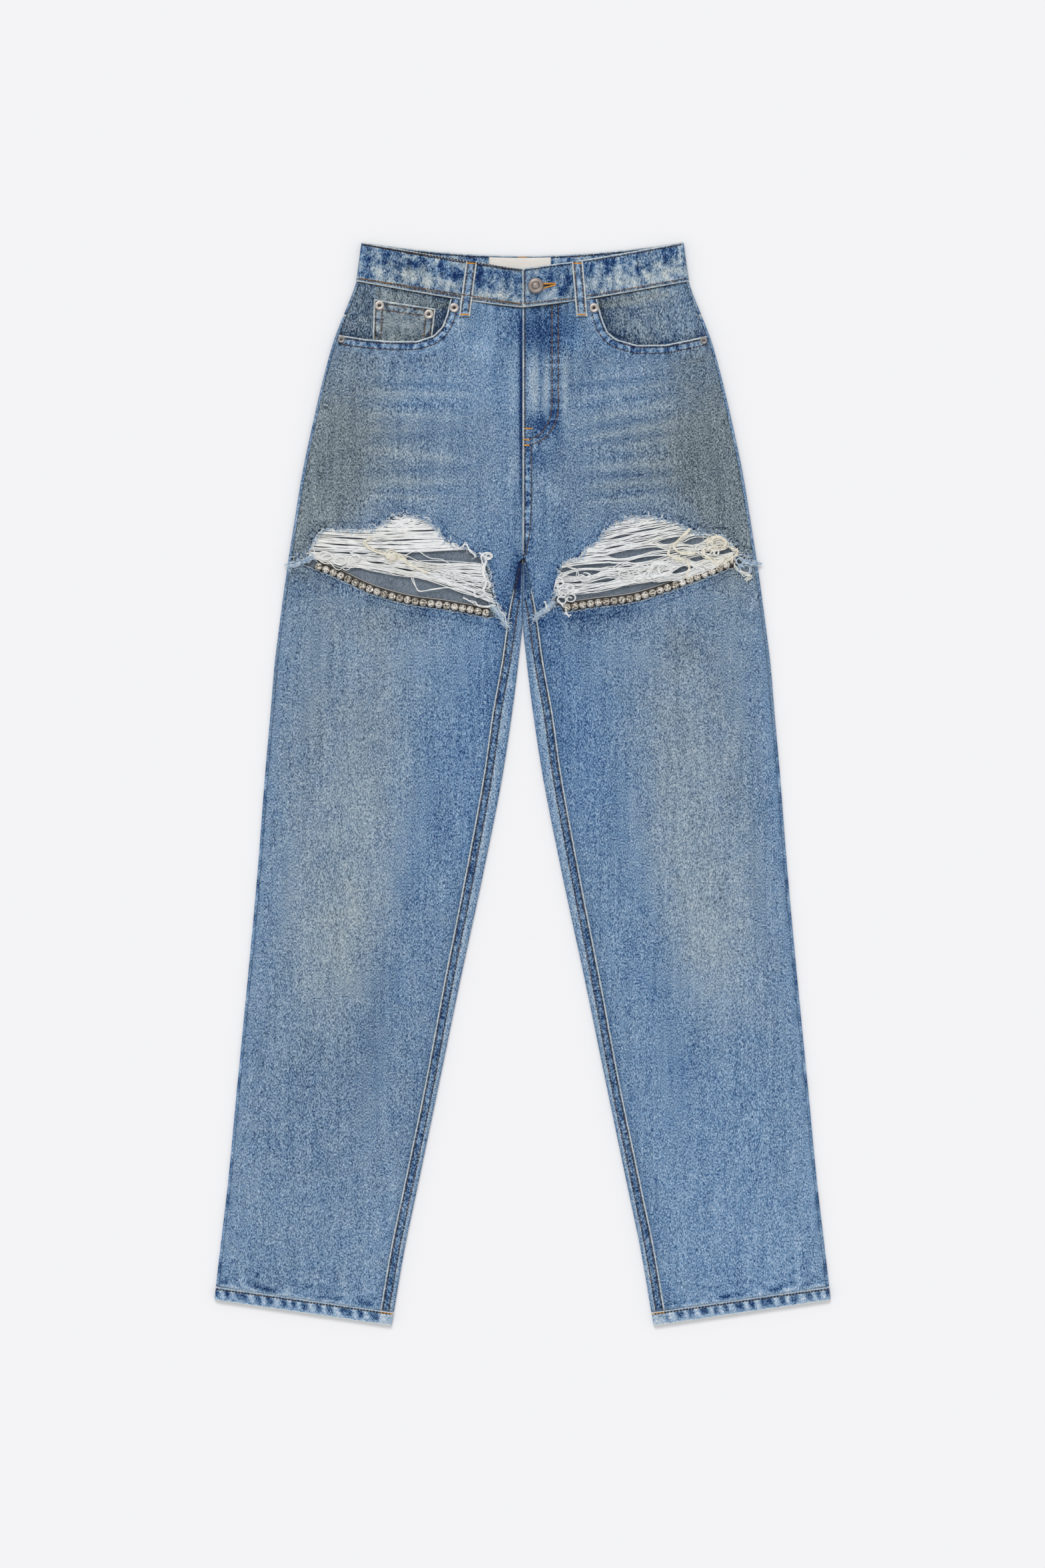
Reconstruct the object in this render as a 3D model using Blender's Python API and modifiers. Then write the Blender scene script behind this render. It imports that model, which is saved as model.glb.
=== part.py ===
"""Ripped high-rise jeans laid flat on their back, front up, waist towards +Y.

Run with: blender --background --python part.py

Sizes are in millimetres and are turned into metres where points are made. Heights along the
leg are counted from the lowest point of the hems, and x is counted outwards from the middle,
so that one table serves both legs. "Right" and "left" are the wearer's: right is at -X.
Each piece of cloth is a grid whose points are placed by a function on the middle of its
thickness, and a Solidify modifier gives it its wall.
"""

import math
from collections import namedtuple

import bmesh
import bpy
import numpy as np

MM = 0.001
RIGHT, LEFT = -1, 1
SIDES = ((RIGHT, "right"), (LEFT, "left"))

# Driving sizes.
LENGTH = 1104.0  # hem to the top corner of the waistband
CLOTH = 1.2  # one layer of denim
DOUBLE = 2.4  # a folded band: the waistband and the hems
GAP = 0.3  # between pieces that touch
SEAM = 0.6  # between the edges of pieces that a seam joins
STEP = CLOTH + 0.4  # how far a layer rises to lie on another
BASE = 2.4  # middle of the front cloth above the back's underside, where it lies flattest
PUFF = 1.8  # how far the front cloth stands off the back away from its edges
CROTCH = 782.0
BAND_HEIGHT = 39.7
HEM_HEIGHT = 14.0
HEM_SLOPE = 26.0  # the outer corner of a hem lies this much higher than the inner one
FOLD_RADIUS = 0.9
OUTSEAM_TURN = 3.0  # the back turns over the outer edge by this much
CENTRE_LAP = 9.5  # the left front lies this far over the right one
INSEAM_LAP = 9.0
SEAT_LIFT = CLOTH + GAP  # the seat lies on its pockets and belt loops
FACING_BOTTOM, FACING_INNER = 984, 60
COIN_BOTTOM, COIN_INNER, COIN_OUTER = 991, 91, 154
BAND_FRONT = DOUBLE * 1.5 + GAP  # middle of the front waistband above the seat's underside
LABEL_ROOM = 0.9  # the front waistband rises by this much where the label is behind it
BUTTON_END = 34  # the right end of the waistband reaches this far under the left one
LOOP_WIDTH, LOOP_LENGTH, LOOP_CLOTH = 11.2, 56, 2.0
LOOP_TOP = 1084  # height of the front loops' upper ends
CRYSTAL = 8.0
CRYSTALS = 23
TAPE_CLOTH = 1.0
TAPE_BELOW, TAPE_ABOVE = 6.5, 5.9  # from the crystals' middle line to the tape's edges
FRAY_WIDTH, FRAY_CLOTH = 4.6, 1.6

Section = namedtuple("Section", "y outer inner turn")
# The flat outline. turn is how far the back comes round the inner edge to the inseam.
SECTIONS = (
    Section(0, 316.0, 133.6, 14.0),
    Section(26, 314.0, 129.3, 14.0),
    Section(80, 308.0, 120.0, 14.0),
    Section(135, 301.5, 108.5, 14.0),
    Section(243, 291.0, 86.0, 14.0),
    Section(352, 280.3, 63.6, 16.0),
    Section(461, 270.3, 40.2, 18.0),
    Section(570, 261.8, 19.0, 19.5),
    Section(624, 257.0, 10.9, 20.0),
    Section(679, 252.3, 4.0, 17.0),
    Section(717, 247.5, 0.2, 15.5),
    Section(752, 242.8, 0.2, 9.2),
    Section(775, 239.5, 0.2, 4.5),
    Section(815, 233.2, 0.2, 0.0),
    Section(869, 224.4, 0.2, 0.0),
    Section(923, 213.0, 0.2, 0.0),
    Section(978, 199.8, 0.2, 0.0),
    Section(1005, 192.0, 0.2, 0.0),
    Section(1032, 181.5, 0.2, 0.0),
    Section(1064, 169.5, 0.2, 0.0),
    Section(1104, 164.2, 0.2, 0.0),
)

Point = namedtuple("Point", "x y")
# Mouth of each front pocket, from the waistband to the outseam.
POCKET_MOUTH = {
    RIGHT: (
        Point(73.5, 1046),
        Point(77, 1030.5),
        Point(82, 1017.5),
        Point(91, 1008.5),
        Point(108, 1003),
        Point(134, 1003),
        Point(160, 1005),
        Point(190, 1010),
    ),
    LEFT: (
        Point(76, 1046),
        Point(78.5, 1035.5),
        Point(82, 1024),
        Point(87, 1012),
        Point(96, 1005),
        Point(117, 999),
        Point(146, 999.5),
        Point(168, 1004),
        Point(190, 1009),
    ),
}
# Torn lower edge of each upper front, from the inseam to the outseam.
TORN_EDGE = {
    RIGHT: (
        Point(15.5, 717),
        Point(27, 740),
        Point(31, 757),
        Point(33, 770),
        Point(38, 782.5),
        Point(46, 784.5),
        Point(56, 792),
        Point(66, 794),
        Point(79, 801),
        Point(84, 809),
        Point(94, 818),
        Point(107, 824),
        Point(123.5, 827),
        Point(133, 825.5),
        Point(140, 820),
        Point(148, 813),
        Point(157, 810),
        Point(181, 810.5),
        Point(198, 811.5),
        Point(206, 809),
        Point(213, 800),
        Point(216, 790),
        Point(222, 784),
        Point(235, 783),
    ),
    LEFT: (
        Point(15, 721),
        Point(32, 742),
        Point(34.5, 757),
        Point(36.5, 771),
        Point(42.5, 778),
        Point(59, 783),
        Point(64, 791),
        Point(77, 799),
        Point(80.5, 807.5),
        Point(93.5, 817.5),
        Point(110, 824),
        Point(126.5, 825.5),
        Point(143, 822),
        Point(154.5, 817.5),
        Point(168, 813),
        Point(184, 805),
        Point(204, 805),
        Point(212, 798),
        Point(218, 789.5),
        Point(223, 785),
        Point(235, 784),
    ),
}
# Middle line of each crystal chain, from its inner to its outer end.
CHAIN = {
    RIGHT: (
        Point(33.5, 725.6),
        Point(74, 733.2),
        Point(119, 739.8),
        Point(157, 751),
        Point(188, 765.4),
        Point(211.5, 775),
    ),
    LEFT: (
        Point(41.5, 731.5),
        Point(76, 736.5),
        Point(113, 741.4),
        Point(150, 752.5),
        Point(188, 766.6),
        Point(207, 774.6),
        Point(218, 781.5),
    ),
}
# Middle lines of the frayed strips at the ends of each rip.
FRAYS = {
    RIGHT: {
        "outer": (Point(214, 782.5), Point(221, 779), Point(230, 776), Point(239, 773.5)),
        "inner": (Point(15.3, 711.5), Point(21, 720), Point(27, 728.5), Point(31, 734)),
    },
    LEFT: {
        "outer": (Point(224, 779.5), Point(229, 777.5), Point(235, 776.5), Point(241, 776.5)),
        "inner": (Point(11.2, 720), Point(19, 726), Point(27, 732), Point(33, 736.5)),
    },
}

Bands = namedtuple("Bands", "x slot_top slot_bottom floor")
# White weft threads left in each rip: an upper band ends at slot_top, and a lower one
# runs from slot_bottom down to floor.
THREADS = {
    RIGHT: (
        Bands(35, 782, 768, 742),
        Bands(50, 789, 776, 747),
        Bands(85, 788, 779, 756),
        Bands(118, 786, 782, 763),
        Bands(170, 786, 784, 771),
        Bands(213, 790, 788, 783),
    ),
    LEFT: (
        Bands(38, 775, 770, 747),
        Bands(62, 784, 777, 748),
        Bands(100, 789, 782, 754),
        Bands(156, 803, 796, 767),
        Bands(190, 798, 794, 776),
        Bands(212, 793, 791, 785),
    ),
}

# Colours are linear RGB.
DENIM = (0.190, 0.265, 0.370, 1.0)
DENIM_BACK = (0.175, 0.245, 0.345, 1.0)
COTTON = (0.700, 0.690, 0.620, 1.0)
LABEL_CLOTH = (0.740, 0.690, 0.640, 1.0)
NICKEL = (0.400, 0.350, 0.320, 1.0)
CRYSTAL_GLASS = (0.620, 0.580, 0.540, 1.0)
TAPE = (0.035, 0.033, 0.035, 1.0)


def smooth(at, stations, values):
    """The value at one station, on a smooth curve through the table's rows."""
    stations = np.asarray(stations, float)
    values = np.asarray(values, float)
    slopes = np.gradient(values, stations)
    k = int(np.clip(np.searchsorted(stations, at) - 1, 0, len(stations) - 2))
    span = stations[k + 1] - stations[k]
    t = float(np.clip((at - stations[k]) / span, 0, 1))
    ends = (2 * t**3 - 3 * t**2 + 1) * values[k] + (3 * t**2 - 2 * t**3) * values[k + 1]
    return ends + span * ((t**3 - 2 * t**2 + t) * slopes[k] + (t**3 - t**2) * slopes[k + 1])


def column(name, y):
    return smooth(y, [s.y for s in SECTIONS], [getattr(s, name) for s in SECTIONS])


def ramp(value, start, stop):
    """0 up to start, 1 from stop, and a soft step between."""
    t = min(1.0, max(0.0, (value - start) / (stop - start)))
    return t * t * (3 - 2 * t)


def mix(a, b, share):
    return a + (b - a) * share


def outer(y):
    return column("outer", y)


def inner(y):
    return max(0.2, column("inner", y))


def turn(y):
    """How far the back comes round the inner edge of the leg at this height."""
    return max(0.0, column("turn", y))


def seat_lift(y):
    return SEAT_LIFT * ramp(y, 725, 770)


def hem_line(x):
    """Bottom edge of the hem at this distance from the middle."""
    low, high = SECTIONS[0].inner, SECTIONS[0].outer
    return HEM_SLOPE * (x - low) / (high - low)


def row_slope(y):
    """How much a row of cloth climbs for each millimetre outwards. It fades up the leg."""
    across = SECTIONS[0].outer - SECTIONS[0].inner
    return HEM_SLOPE / across * max(0.0, 1 - y / CROTCH)


def lean(x):
    """How far the bottom of the waistband stands further out than its top."""
    return 5.4 * ramp(abs(x), 0, 60)


def front_top(x):
    return 1077 + 27 * (abs(x) / 164.2) ** 1.15


def back_top(x):
    return 1090 + 14 * (abs(x) / 164.2) ** 1.8


def front_waist_seam(x):
    return front_top(abs(x) - lean(x)) - BAND_HEIGHT


def back_waist_seam(x):
    return back_top(abs(x) - lean(x)) - BAND_HEIGHT


def yoke_seam(x):
    """The yoke's lower edge, a shallow V that drops to the middle of the back."""
    return 975 + 54 * (abs(x) / 182) ** 0.95


def puff(x, y):
    from_outer = ramp(outer(y) - x, 4, 30)
    from_seam = x - inner(y) - turn(y)
    from_inner = mix(ramp(from_seam, -2, 26), 1.0, ramp(y, 745, 800))
    from_waist = 1 - ramp(y, 940, 1025)
    return PUFF * from_outer * from_inner * from_waist


def cloth_height(x, y):
    """Middle of the front cloth where only the back lies under it."""
    return BASE + seat_lift(y) + puff(max(x, 0), y)


def over_facing(x, y):
    """1 where the front lies on the pocket facing, with a margin of one grid cell."""
    return ramp(min(y - FACING_BOTTOM, x - FACING_INNER), -36, -16)


def over_coin_pocket(x, y):
    inside = min(y - COIN_BOTTOM, x - COIN_INNER, COIN_OUTER - x)
    return ramp(inside, -34, -14)


def front_height(side, x, y):
    z = cloth_height(x, y) + STEP * over_facing(x, y)
    if side == RIGHT:
        return z + STEP * over_coin_pocket(x, y)
    return z + STEP * (1 - ramp(x, CENTRE_LAP + 1, CENTRE_LAP + 9)) * ramp(y, 748, 774)


def highest(height, x, y, reach):
    """The most that a height function gives under a round piece."""
    near = (-reach, 0, reach)
    return max(height(x + dx, y + dy) for dx in near for dy in near)


def spot(side, x, y, z):
    """A point of the garment, in metres, about the middle of its underside."""
    return (side * x * MM, (y - LENGTH / 2) * MM, z * MM)


def material(name, colour, roughness, metallic=0.0):
    made = bpy.data.materials.get(name)
    if made:
        return made
    made = bpy.data.materials.new(name)
    made.use_nodes = True
    shader = made.node_tree.nodes["Principled BSDF"]
    shader.inputs["Base Color"].default_value = colour
    shader.inputs["Roughness"].default_value = roughness
    shader.inputs["Metallic"].default_value = metallic
    return made


def denim():
    return material("denim", DENIM, 0.85)


def denim_back():
    return material("denim_back", DENIM_BACK, 0.85)


def cotton():
    return material("cotton_threads", COTTON, 0.9)


def nickel():
    return material("nickel", NICKEL, 0.35, 1.0)


def clear_scene():
    for obj in list(bpy.data.objects):
        bpy.data.objects.remove(obj)


def garment():
    """The collection that holds the pieces."""
    found = bpy.data.collections.get("ripped_jeans")
    if found is None:
        found = bpy.data.collections.new("ripped_jeans")
        bpy.context.scene.collection.children.link(found)
    return found


def add_piece(name, data, finish):
    obj = bpy.data.objects.new(name, data)
    obj.data.materials.append(finish)
    garment().objects.link(obj)
    return obj


def solidify(obj, thickness):
    wall = obj.modifiers.new("wall", "SOLIDIFY")
    wall.thickness = thickness * MM
    wall.offset = 0
    wall.use_even_offset = True
    wall.use_quality_normals = True
    return obj


def grid(columns, rows, place):
    """A bmesh grid, each point moved to place(share across, share along)."""
    bm = bmesh.new()
    bmesh.ops.create_grid(
        bm, x_segments=len(columns) - 1, y_segments=len(rows) - 1, size=0.5
    )
    for v in bm.verts:
        i = round((v.co.x + 0.5) * (len(columns) - 1))
        j = round((v.co.y + 0.5) * (len(rows) - 1))
        v.co = place(columns[i], rows[j])
    return bm


def finish_cloth(name, bm, finish, thickness=CLOTH):
    bmesh.ops.recalc_face_normals(bm, faces=bm.faces)
    mesh = bpy.data.meshes.new(name)
    bm.to_mesh(mesh)
    bm.free()
    mesh.shade_smooth()
    mesh.set_sharp_from_angle(angle=math.radians(40))
    return solidify(add_piece(name, mesh, finish), thickness)


def even(count, start=0.0, stop=1.0):
    return list(np.linspace(start, stop, count + 1))


def panel(side, columns, rows, bottom, top, inner_edge, outer_edge, height):
    """A bmesh between two edges of the garment and two curves across it."""

    def place(u, v):
        y = mix(bottom(u), top(u), v)
        x = mix(inner_edge(y), outer_edge(y), u)
        return spot(side, x, y, height(x, y))

    return grid(columns, rows, place)


def turn_over(bm, side, edge_of, direction, bottom, top, profile):
    """Turns an edge of a panel over. profile(y) lists (distance in from the outline, z)."""

    def along(v):
        return v.co.y / MM + LENGTH / 2

    def on_edge(v):
        y = along(v)
        flat_end = edge_of(y) + direction * profile(y)[0][0]
        return abs(abs(v.co.x) / MM - flat_end) < 0.05 and bottom < y < top

    edges = [e for e in bm.edges if e.is_boundary and all(map(on_edge, e.verts))]
    steps = len(profile(CROTCH)) - 1
    for step in range(1, steps + 1):
        made = bmesh.ops.extrude_edge_only(bm, edges=edges)["geom"]
        for v in made:
            if isinstance(v, bmesh.types.BMVert):
                y = along(v)
                before, _ = profile(y)[step - 1]
                inward, z = profile(y)[step]
                x = edge_of(y) + direction * inward
                v.co = spot(side, x, y + direction * (inward - before) * row_slope(y), z)
        edges = [
            e
            for e in made
            if isinstance(e, bmesh.types.BMEdge)
            and all(v in made for v in e.verts)
        ]


def fold(y):
    """Half a turn of cloth from the underside up, as (distance in, z)."""
    middle = CLOTH / 2 + FOLD_RADIUS
    bend = CLOTH / 2 + FOLD_RADIUS
    angles = np.radians((-90, -30, 30, 90))
    return [
        (bend - FOLD_RADIUS * math.cos(a), seat_lift(y) + middle + FOLD_RADIUS * math.sin(a))
        for a in angles
    ]


def inseam_turn(y):
    """The back comes round the inner edge and lies over the front up to the inseam."""
    reach = max(turn(y) - GAP, 2.4)
    over_front = 1 - ramp(y, 684, 708)
    climb = max(1.9, mix(1.9, reach - INSEAM_LAP - 1.2, over_front))

    def top(inward):
        return inward, cloth_height(inner(y) + inward, y) + STEP * over_front

    return fold(y) + [top(climb), top(mix(climb, reach, 0.5)), top(reach)]


def outseam_turn(y):
    return fold(y) + [(OUTSEAM_TURN, seat_lift(y) + BASE)]


def above_hem(inner_edge, outer_edge):
    """Lower edge of a leg panel between these edges, as a function of the share across."""
    low = HEM_HEIGHT + SEAM
    return lambda u: hem_line(mix(inner_edge(20), outer_edge(20), u)) + low


def back_panels():
    """Full-length backs. They turn over both edges of the leg on to the front face."""
    bend = CLOTH / 2 + FOLD_RADIUS
    rows = even(8, 0, 0.66) + [0.69, 0.7, 0.722, 0.745, 0.772, 0.792, 0.802]
    rows += even(4, 0.85, 1)
    for side, name in SIDES:

        def inner_edge(y):
            return inner(y) + mix(bend, 0, ramp(y, 776, 782))

        def outer_edge(y):
            return outer(y) - bend

        def top(u):
            return yoke_seam(mix(0, 179, u)) - SEAM

        bm = panel(
            side,
            even(6),
            rows,
            above_hem(inner_edge, outer_edge),
            top,
            inner_edge,
            outer_edge,
            lambda x, y: CLOTH / 2 + seat_lift(y),
        )
        turn_over(bm, side, inner, 1, 0, 776.5, inseam_turn)
        turn_over(bm, side, outer, -1, 0, 1035, outseam_turn)
        finish_cloth(f"back_{name}", bm, denim_back())


def yokes():
    bend = CLOTH / 2 + FOLD_RADIUS
    for side, name in SIDES:
        bm = panel(
            side,
            even(8),
            even(3),
            lambda u: yoke_seam(mix(0, 179, u)),
            lambda u: back_waist_seam(mix(0, 168, u)) - SEAM,
            inner,
            lambda y: outer(y) - bend,
            lambda x, y: CLOTH / 2 + seat_lift(y),
        )
        turn_over(bm, side, outer, -1, 1020, 1070, outseam_turn)
        finish_cloth(f"yoke_{name}", bm, denim_back())


def back_pockets():
    """Five-cornered patch pockets on the underside of the seat."""
    middle, half_top, half_bottom = 95, 69, 61
    top, corner, point = 952, 838, 815
    for side, name in SIDES:

        def place(u, v):
            across = mix(-1, 1, u)
            bottom = mix(point, corner, abs(across))
            y = mix(bottom, top + 6 * across, v)
            half = mix(half_bottom, half_top, ramp(y, corner, top))
            return spot(side, middle + across * half, y, CLOTH / 2)

        bm = grid(even(4), even(3), place)
        finish_cloth(f"back_pocket_{name}", bm, denim_back())


def share_across(x, y, inner_edge, outer_edge):
    return (x - inner_edge(y)) / (outer_edge(y) - inner_edge(y))


def curve_across(points, inner_edge, outer_edge):
    """Shares and heights of a curve that crosses a panel, from its inner edge out."""
    shares = [share_across(p.x, p.y, inner_edge, outer_edge) for p in points]
    return shares, [p.y for p in points]


def merged_columns(*lists, least=0.006):
    """All shares in order, without those that nearly coincide."""
    kept = []
    for share in sorted(min(1.0, max(0.0, s)) for values in lists for s in values):
        if not kept or share - kept[-1] > least:
            kept.append(share)
    kept[-1] = 1.0
    return kept


def upper_fronts():
    """Thigh-high fronts: waist seam and pocket mouth above, the torn edge below."""
    for side, name in SIDES:
        lap = CENTRE_LAP if side == RIGHT else 0.0

        def inner_edge(y):
            return mix(inner(y) + turn(y), -lap, ramp(y, 782, 812))

        def outer_edge(y):
            return outer(y) - OUTSEAM_TURN - SEAM

        mouth = curve_across(POCKET_MOUTH[side], inner_edge, outer_edge)
        torn = curve_across(TORN_EDGE[side], inner_edge, outer_edge)
        seam_line = [Point(x, front_waist_seam(x) - SEAM) for x in (-lap, 0, 24, 48, 68)]
        seam = curve_across(seam_line, inner_edge, outer_edge)
        top_shares, top_heights = seam[0] + mouth[0], seam[1] + mouth[1]
        lap_shares = [share_across(x, 900, inner_edge, outer_edge) for x in (5, 10.5, 20)]
        columns = merged_columns([0.0, 1.0], torn[0], mouth[0], seam[0], lap_shares)
        bm = panel(
            side,
            columns,
            [0, 0.06, 0.12, 0.19, 0.28, 0.4, 0.55, 0.7, 0.85, 1],
            lambda u: float(np.interp(u, *torn)),
            lambda u: float(np.interp(u, top_shares, top_heights)),
            inner_edge,
            outer_edge,
            lambda x, y: front_height(side, x, y),
        )
        finish_cloth(f"front_upper_{name}", bm, denim())


def chain_line(side, x):
    points = CHAIN[side]
    return smooth(x, [p.x for p in points], [p.y for p in points])


def lower_edge(side):
    """Top edge of a lower front: it follows the underside of the crystals."""
    below = CRYSTAL / 2 + GAP + 0.4
    first, last = CHAIN[side][0].x, CHAIN[side][-1].x
    line = [Point(x, chain_line(side, x) - below) for x in np.linspace(first, last - 12, 12)]
    ends = (Point(20, 716), Point(223, 775.5), Point(240, 774))
    return [ends[0], *line, ends[1], ends[2]]


def lower_fronts():
    for side, name in SIDES:

        def inner_edge(y):
            return inner(y) + turn(y) - mix(INSEAM_LAP, 0, ramp(y, 650, 678))

        def outer_edge(y):
            return outer(y) - OUTSEAM_TURN - SEAM

        edge = curve_across(lower_edge(side), inner_edge, outer_edge)
        bm = panel(
            side,
            merged_columns([0.0, 0.05, 1.0], edge[0], least=0.03),
            even(9, 0, 0.86) + [0.905, 0.945, 0.97, 1],
            above_hem(inner_edge, outer_edge),
            lambda u: float(np.interp(u, *edge)),
            inner_edge,
            outer_edge,
            cloth_height,
        )
        finish_cloth(f"front_lower_{name}", bm, denim())


def hems():
    """Turned-up hems: a flattened ring of doubled cloth at the foot of each leg."""
    radius = (DOUBLE + GAP) / 2
    bend = DOUBLE / 2 + radius
    low, high = DOUBLE / 2, DOUBLE * 1.5 + GAP
    across = even(6)
    turns = np.radians((-45, 0, 45))
    # Each point of the ring: share across the leg, distance from the bend, z.
    ring = [(u, 0.0, low) for u in across]
    ring += [(1.0, radius * math.cos(a), low + radius * (1 + math.sin(a))) for a in turns]
    ring += [(u, 0.0, high) for u in reversed(across)]
    ring += [(0.0, -radius * math.cos(a), high - radius * (1 + math.sin(a))) for a in turns]
    ring.append(ring[0])
    for side, name in SIDES:

        def place(station, v):
            u, beyond, z = ring[station]
            x = mix(inner(20) + bend, outer(20) - bend, u) + beyond
            y = hem_line(x) + HEM_HEIGHT * v
            x += mix(inner(y) - inner(20), outer(y) - outer(20), u)
            return spot(side, x, y, z)

        bm = grid(range(len(ring)), even(1), place)
        bmesh.ops.remove_doubles(bm, verts=bm.verts, dist=0.01 * MM)
        finish_cloth(f"hem_{name}", bm, denim(), DOUBLE)


def band_height(side, x):
    """Middle of the front waistband. x is outwards, and below 0 past the middle."""
    over_label = LABEL_ROOM * (1 - ramp(abs(x), 36, 46))
    z = SEAT_LIFT + BAND_FRONT + over_label
    if side == LEFT:
        z += (DOUBLE + GAP) * (1 - ramp(x, BUTTON_END + 2, BUTTON_END + 12))
    return z


def waistband():
    """One strip from its button end, round the back, to its buttonhole end."""
    radius = (DOUBLE + GAP) / 2
    bend = 164.2 - DOUBLE / 2 - radius
    back = SEAT_LIFT + DOUBLE / 2
    front_xs = (0, 12, 24, 36, 41, 46, 60, 76, 94, 114, 138, bend)
    turns = np.radians((-60, -20, 20, 60))

    def front(side, x):
        return (side * x, front_top(x), band_height(side, x))

    def side_fold(side, a):
        # a runs from -90 at the back to 90 at the front.
        x = bend + radius * math.cos(a)
        return (side * x, front_top(bend), back + radius * (1 + math.sin(a)))

    stations = [(x, front_top(x), band_height(RIGHT, x)) for x in (BUTTON_END, 24, 12)]
    stations += [front(RIGHT, x) for x in front_xs]
    stations += [side_fold(RIGHT, a) for a in reversed(turns)]
    stations += [(x, back_top(x), back) for x in np.linspace(-bend, bend, 17)]
    stations += [side_fold(LEFT, a) for a in turns]
    stations += [front(LEFT, x) for x in reversed(front_xs)]

    def place(station, v):
        x, top, z = stations[station]
        y = top - BAND_HEIGHT * v
        return spot(1, x + math.copysign(lean(x), x) * v, y, z)

    bm = grid(range(len(stations)), even(1), place)
    finish_cloth("waistband", bm, denim(), DOUBLE)


def facings():
    """Denim facings that show inside the front pocket mouths."""
    for side, name in SIDES:
        bm = panel(
            side,
            even(6),
            even(4),
            lambda u: FACING_BOTTOM,
            lambda u: front_waist_seam(mix(FACING_INNER, 168, u)) - SEAM,
            lambda y: FACING_INNER,
            lambda y: outer(y) - OUTSEAM_TURN - 2 * SEAM,
            cloth_height,
        )
        finish_cloth(f"pocket_facing_{name}", bm, denim())


def coin_pocket():
    """Small pocket on the right facing. It leans with the waistband."""

    def place(u, v):
        top = mix(1036, 1046, u)
        y = mix(COIN_BOTTOM, top, v)
        x = mix(mix(COIN_INNER + 3, 88.5, v), mix(COIN_OUTER - 1, 151.5, v), u)
        return spot(RIGHT, x, y, cloth_height(x, y) + STEP)

    finish_cloth("coin_pocket", grid(even(6), even(4), place), denim())


def label():
    """Blank woven label inside the back waistband."""
    height = SEAT_LIFT + DOUBLE + GAP + 0.3

    def place(u, v):
        x = mix(-34, 29, u)
        return spot(1, x, back_top(x) - 2 - 26 * v, height)

    finish = material("label_cloth", LABEL_CLOTH, 0.6)
    finish_cloth("label", grid(even(4), even(1), place), finish, 0.6)


def front_loops():
    """Belt loops over the front waistband. Their lower ends come down on the fronts."""
    middle_top = {RIGHT: 51.8, LEFT: 55.8}
    middle_bottom = {RIGHT: 59.2, LEFT: 60.6}
    for side, name in SIDES:

        def place(u, v):
            x_mid = mix(middle_top[side], middle_bottom[side], v)
            x = x_mid + LOOP_WIDTH * (u - 0.5)
            y = LOOP_TOP - LOOP_LENGTH * v
            on_band = band_height(side, x) + DOUBLE / 2
            on_front = highest(lambda *at: front_height(side, *at), x, y, 4) + CLOTH / 2
            surface = mix(on_front, on_band, ramp(y, 1033, 1037))
            return spot(side, x, y, surface + GAP + LOOP_CLOTH / 2)

        rows = [0, 0.3, 0.6, 0.76, 0.84, 0.91, 1]
        finish_cloth(f"belt_loop_front_{name}", grid(even(2), rows, place), denim(), LOOP_CLOTH)


def back_loops():
    """Belt loops under the back waistband, where the garment rests."""
    for name, x_mid in (("right", -98), ("centre", 0), ("left", 98)):

        def place(u, v):
            x = x_mid + LOOP_WIDTH * (u - 0.5)
            return spot(1, x, back_top(x_mid) - 1 - LOOP_LENGTH * v, CLOTH / 2)

        finish_cloth(f"belt_loop_back_{name}", grid(even(1), even(3), place), denim_back())


def chain_places(side, count):
    """Points evenly spaced along a crystal chain, as (x, y, direction x, direction y)."""
    points = CHAIN[side]
    xs = np.linspace(points[0].x, points[-1].x, 200)
    ys = np.array([chain_line(side, x) for x in xs])
    run = np.concatenate([[0], np.cumsum(np.hypot(np.diff(xs), np.diff(ys)))])
    at = np.linspace(0, run[-1], count)
    x, y = np.interp(at, run, xs), np.interp(at, run, ys)
    dx, dy = np.gradient(x), np.gradient(y)
    size = np.hypot(dx, dy)
    return list(zip(x, y, dx / size, dy / size))


def tape_height(y):
    return CLOTH + GAP + TAPE_CLOTH / 2 + seat_lift(y) + 0.3


def chain_tapes():
    """Dark tape that carries the crystals. Its lower part is under the denim edge."""
    for side, name in SIDES:
        places = chain_places(side, 15)

        def place(station, v):
            x, y, dx, dy = places[station]
            off = mix(-TAPE_BELOW, TAPE_ABOVE, v)
            y_off = y + dx * off
            return spot(side, x - dy * off, y_off, tape_height(y_off))

        bm = grid(range(len(places)), even(2), place)
        finish = material("tape", TAPE, 0.9)
        finish_cloth(f"chain_tape_{name}", bm, finish, TAPE_CLOTH)


def tube(name, points, radii, finish, flatten=1.0):
    """A round tube through points whose radius changes, made a mesh and flattened in z."""
    curve = bpy.data.curves.new(name, "CURVE")
    curve.dimensions = "3D"
    curve.bevel_depth = MM
    curve.bevel_resolution = 1
    curve.use_fill_caps = True
    spline = curve.splines.new("POLY")
    spline.points.add(len(points) - 1)
    for target, point, radius in zip(spline.points, points, radii):
        target.co = (*point, 1)
        target.radius = radius
    helper = bpy.data.objects.new(name + "_guide", curve)
    garment().objects.link(helper)
    graph = bpy.context.evaluated_depsgraph_get()
    mesh = bpy.data.meshes.new_from_object(helper.evaluated_get(graph))
    bpy.data.objects.remove(helper)
    bm = bmesh.new()
    bm.from_mesh(mesh)
    bmesh.ops.remove_doubles(bm, verts=bm.verts, dist=0.01 * MM)
    middle = points[0][2]
    for v in bm.verts:
        v.co.z = middle + (v.co.z - middle) * flatten
    bmesh.ops.recalc_face_normals(bm, faces=bm.faces)
    bm.to_mesh(mesh)
    bm.free()
    mesh.name = name
    mesh.materials.clear()
    return add_piece(name, mesh, finish)


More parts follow.
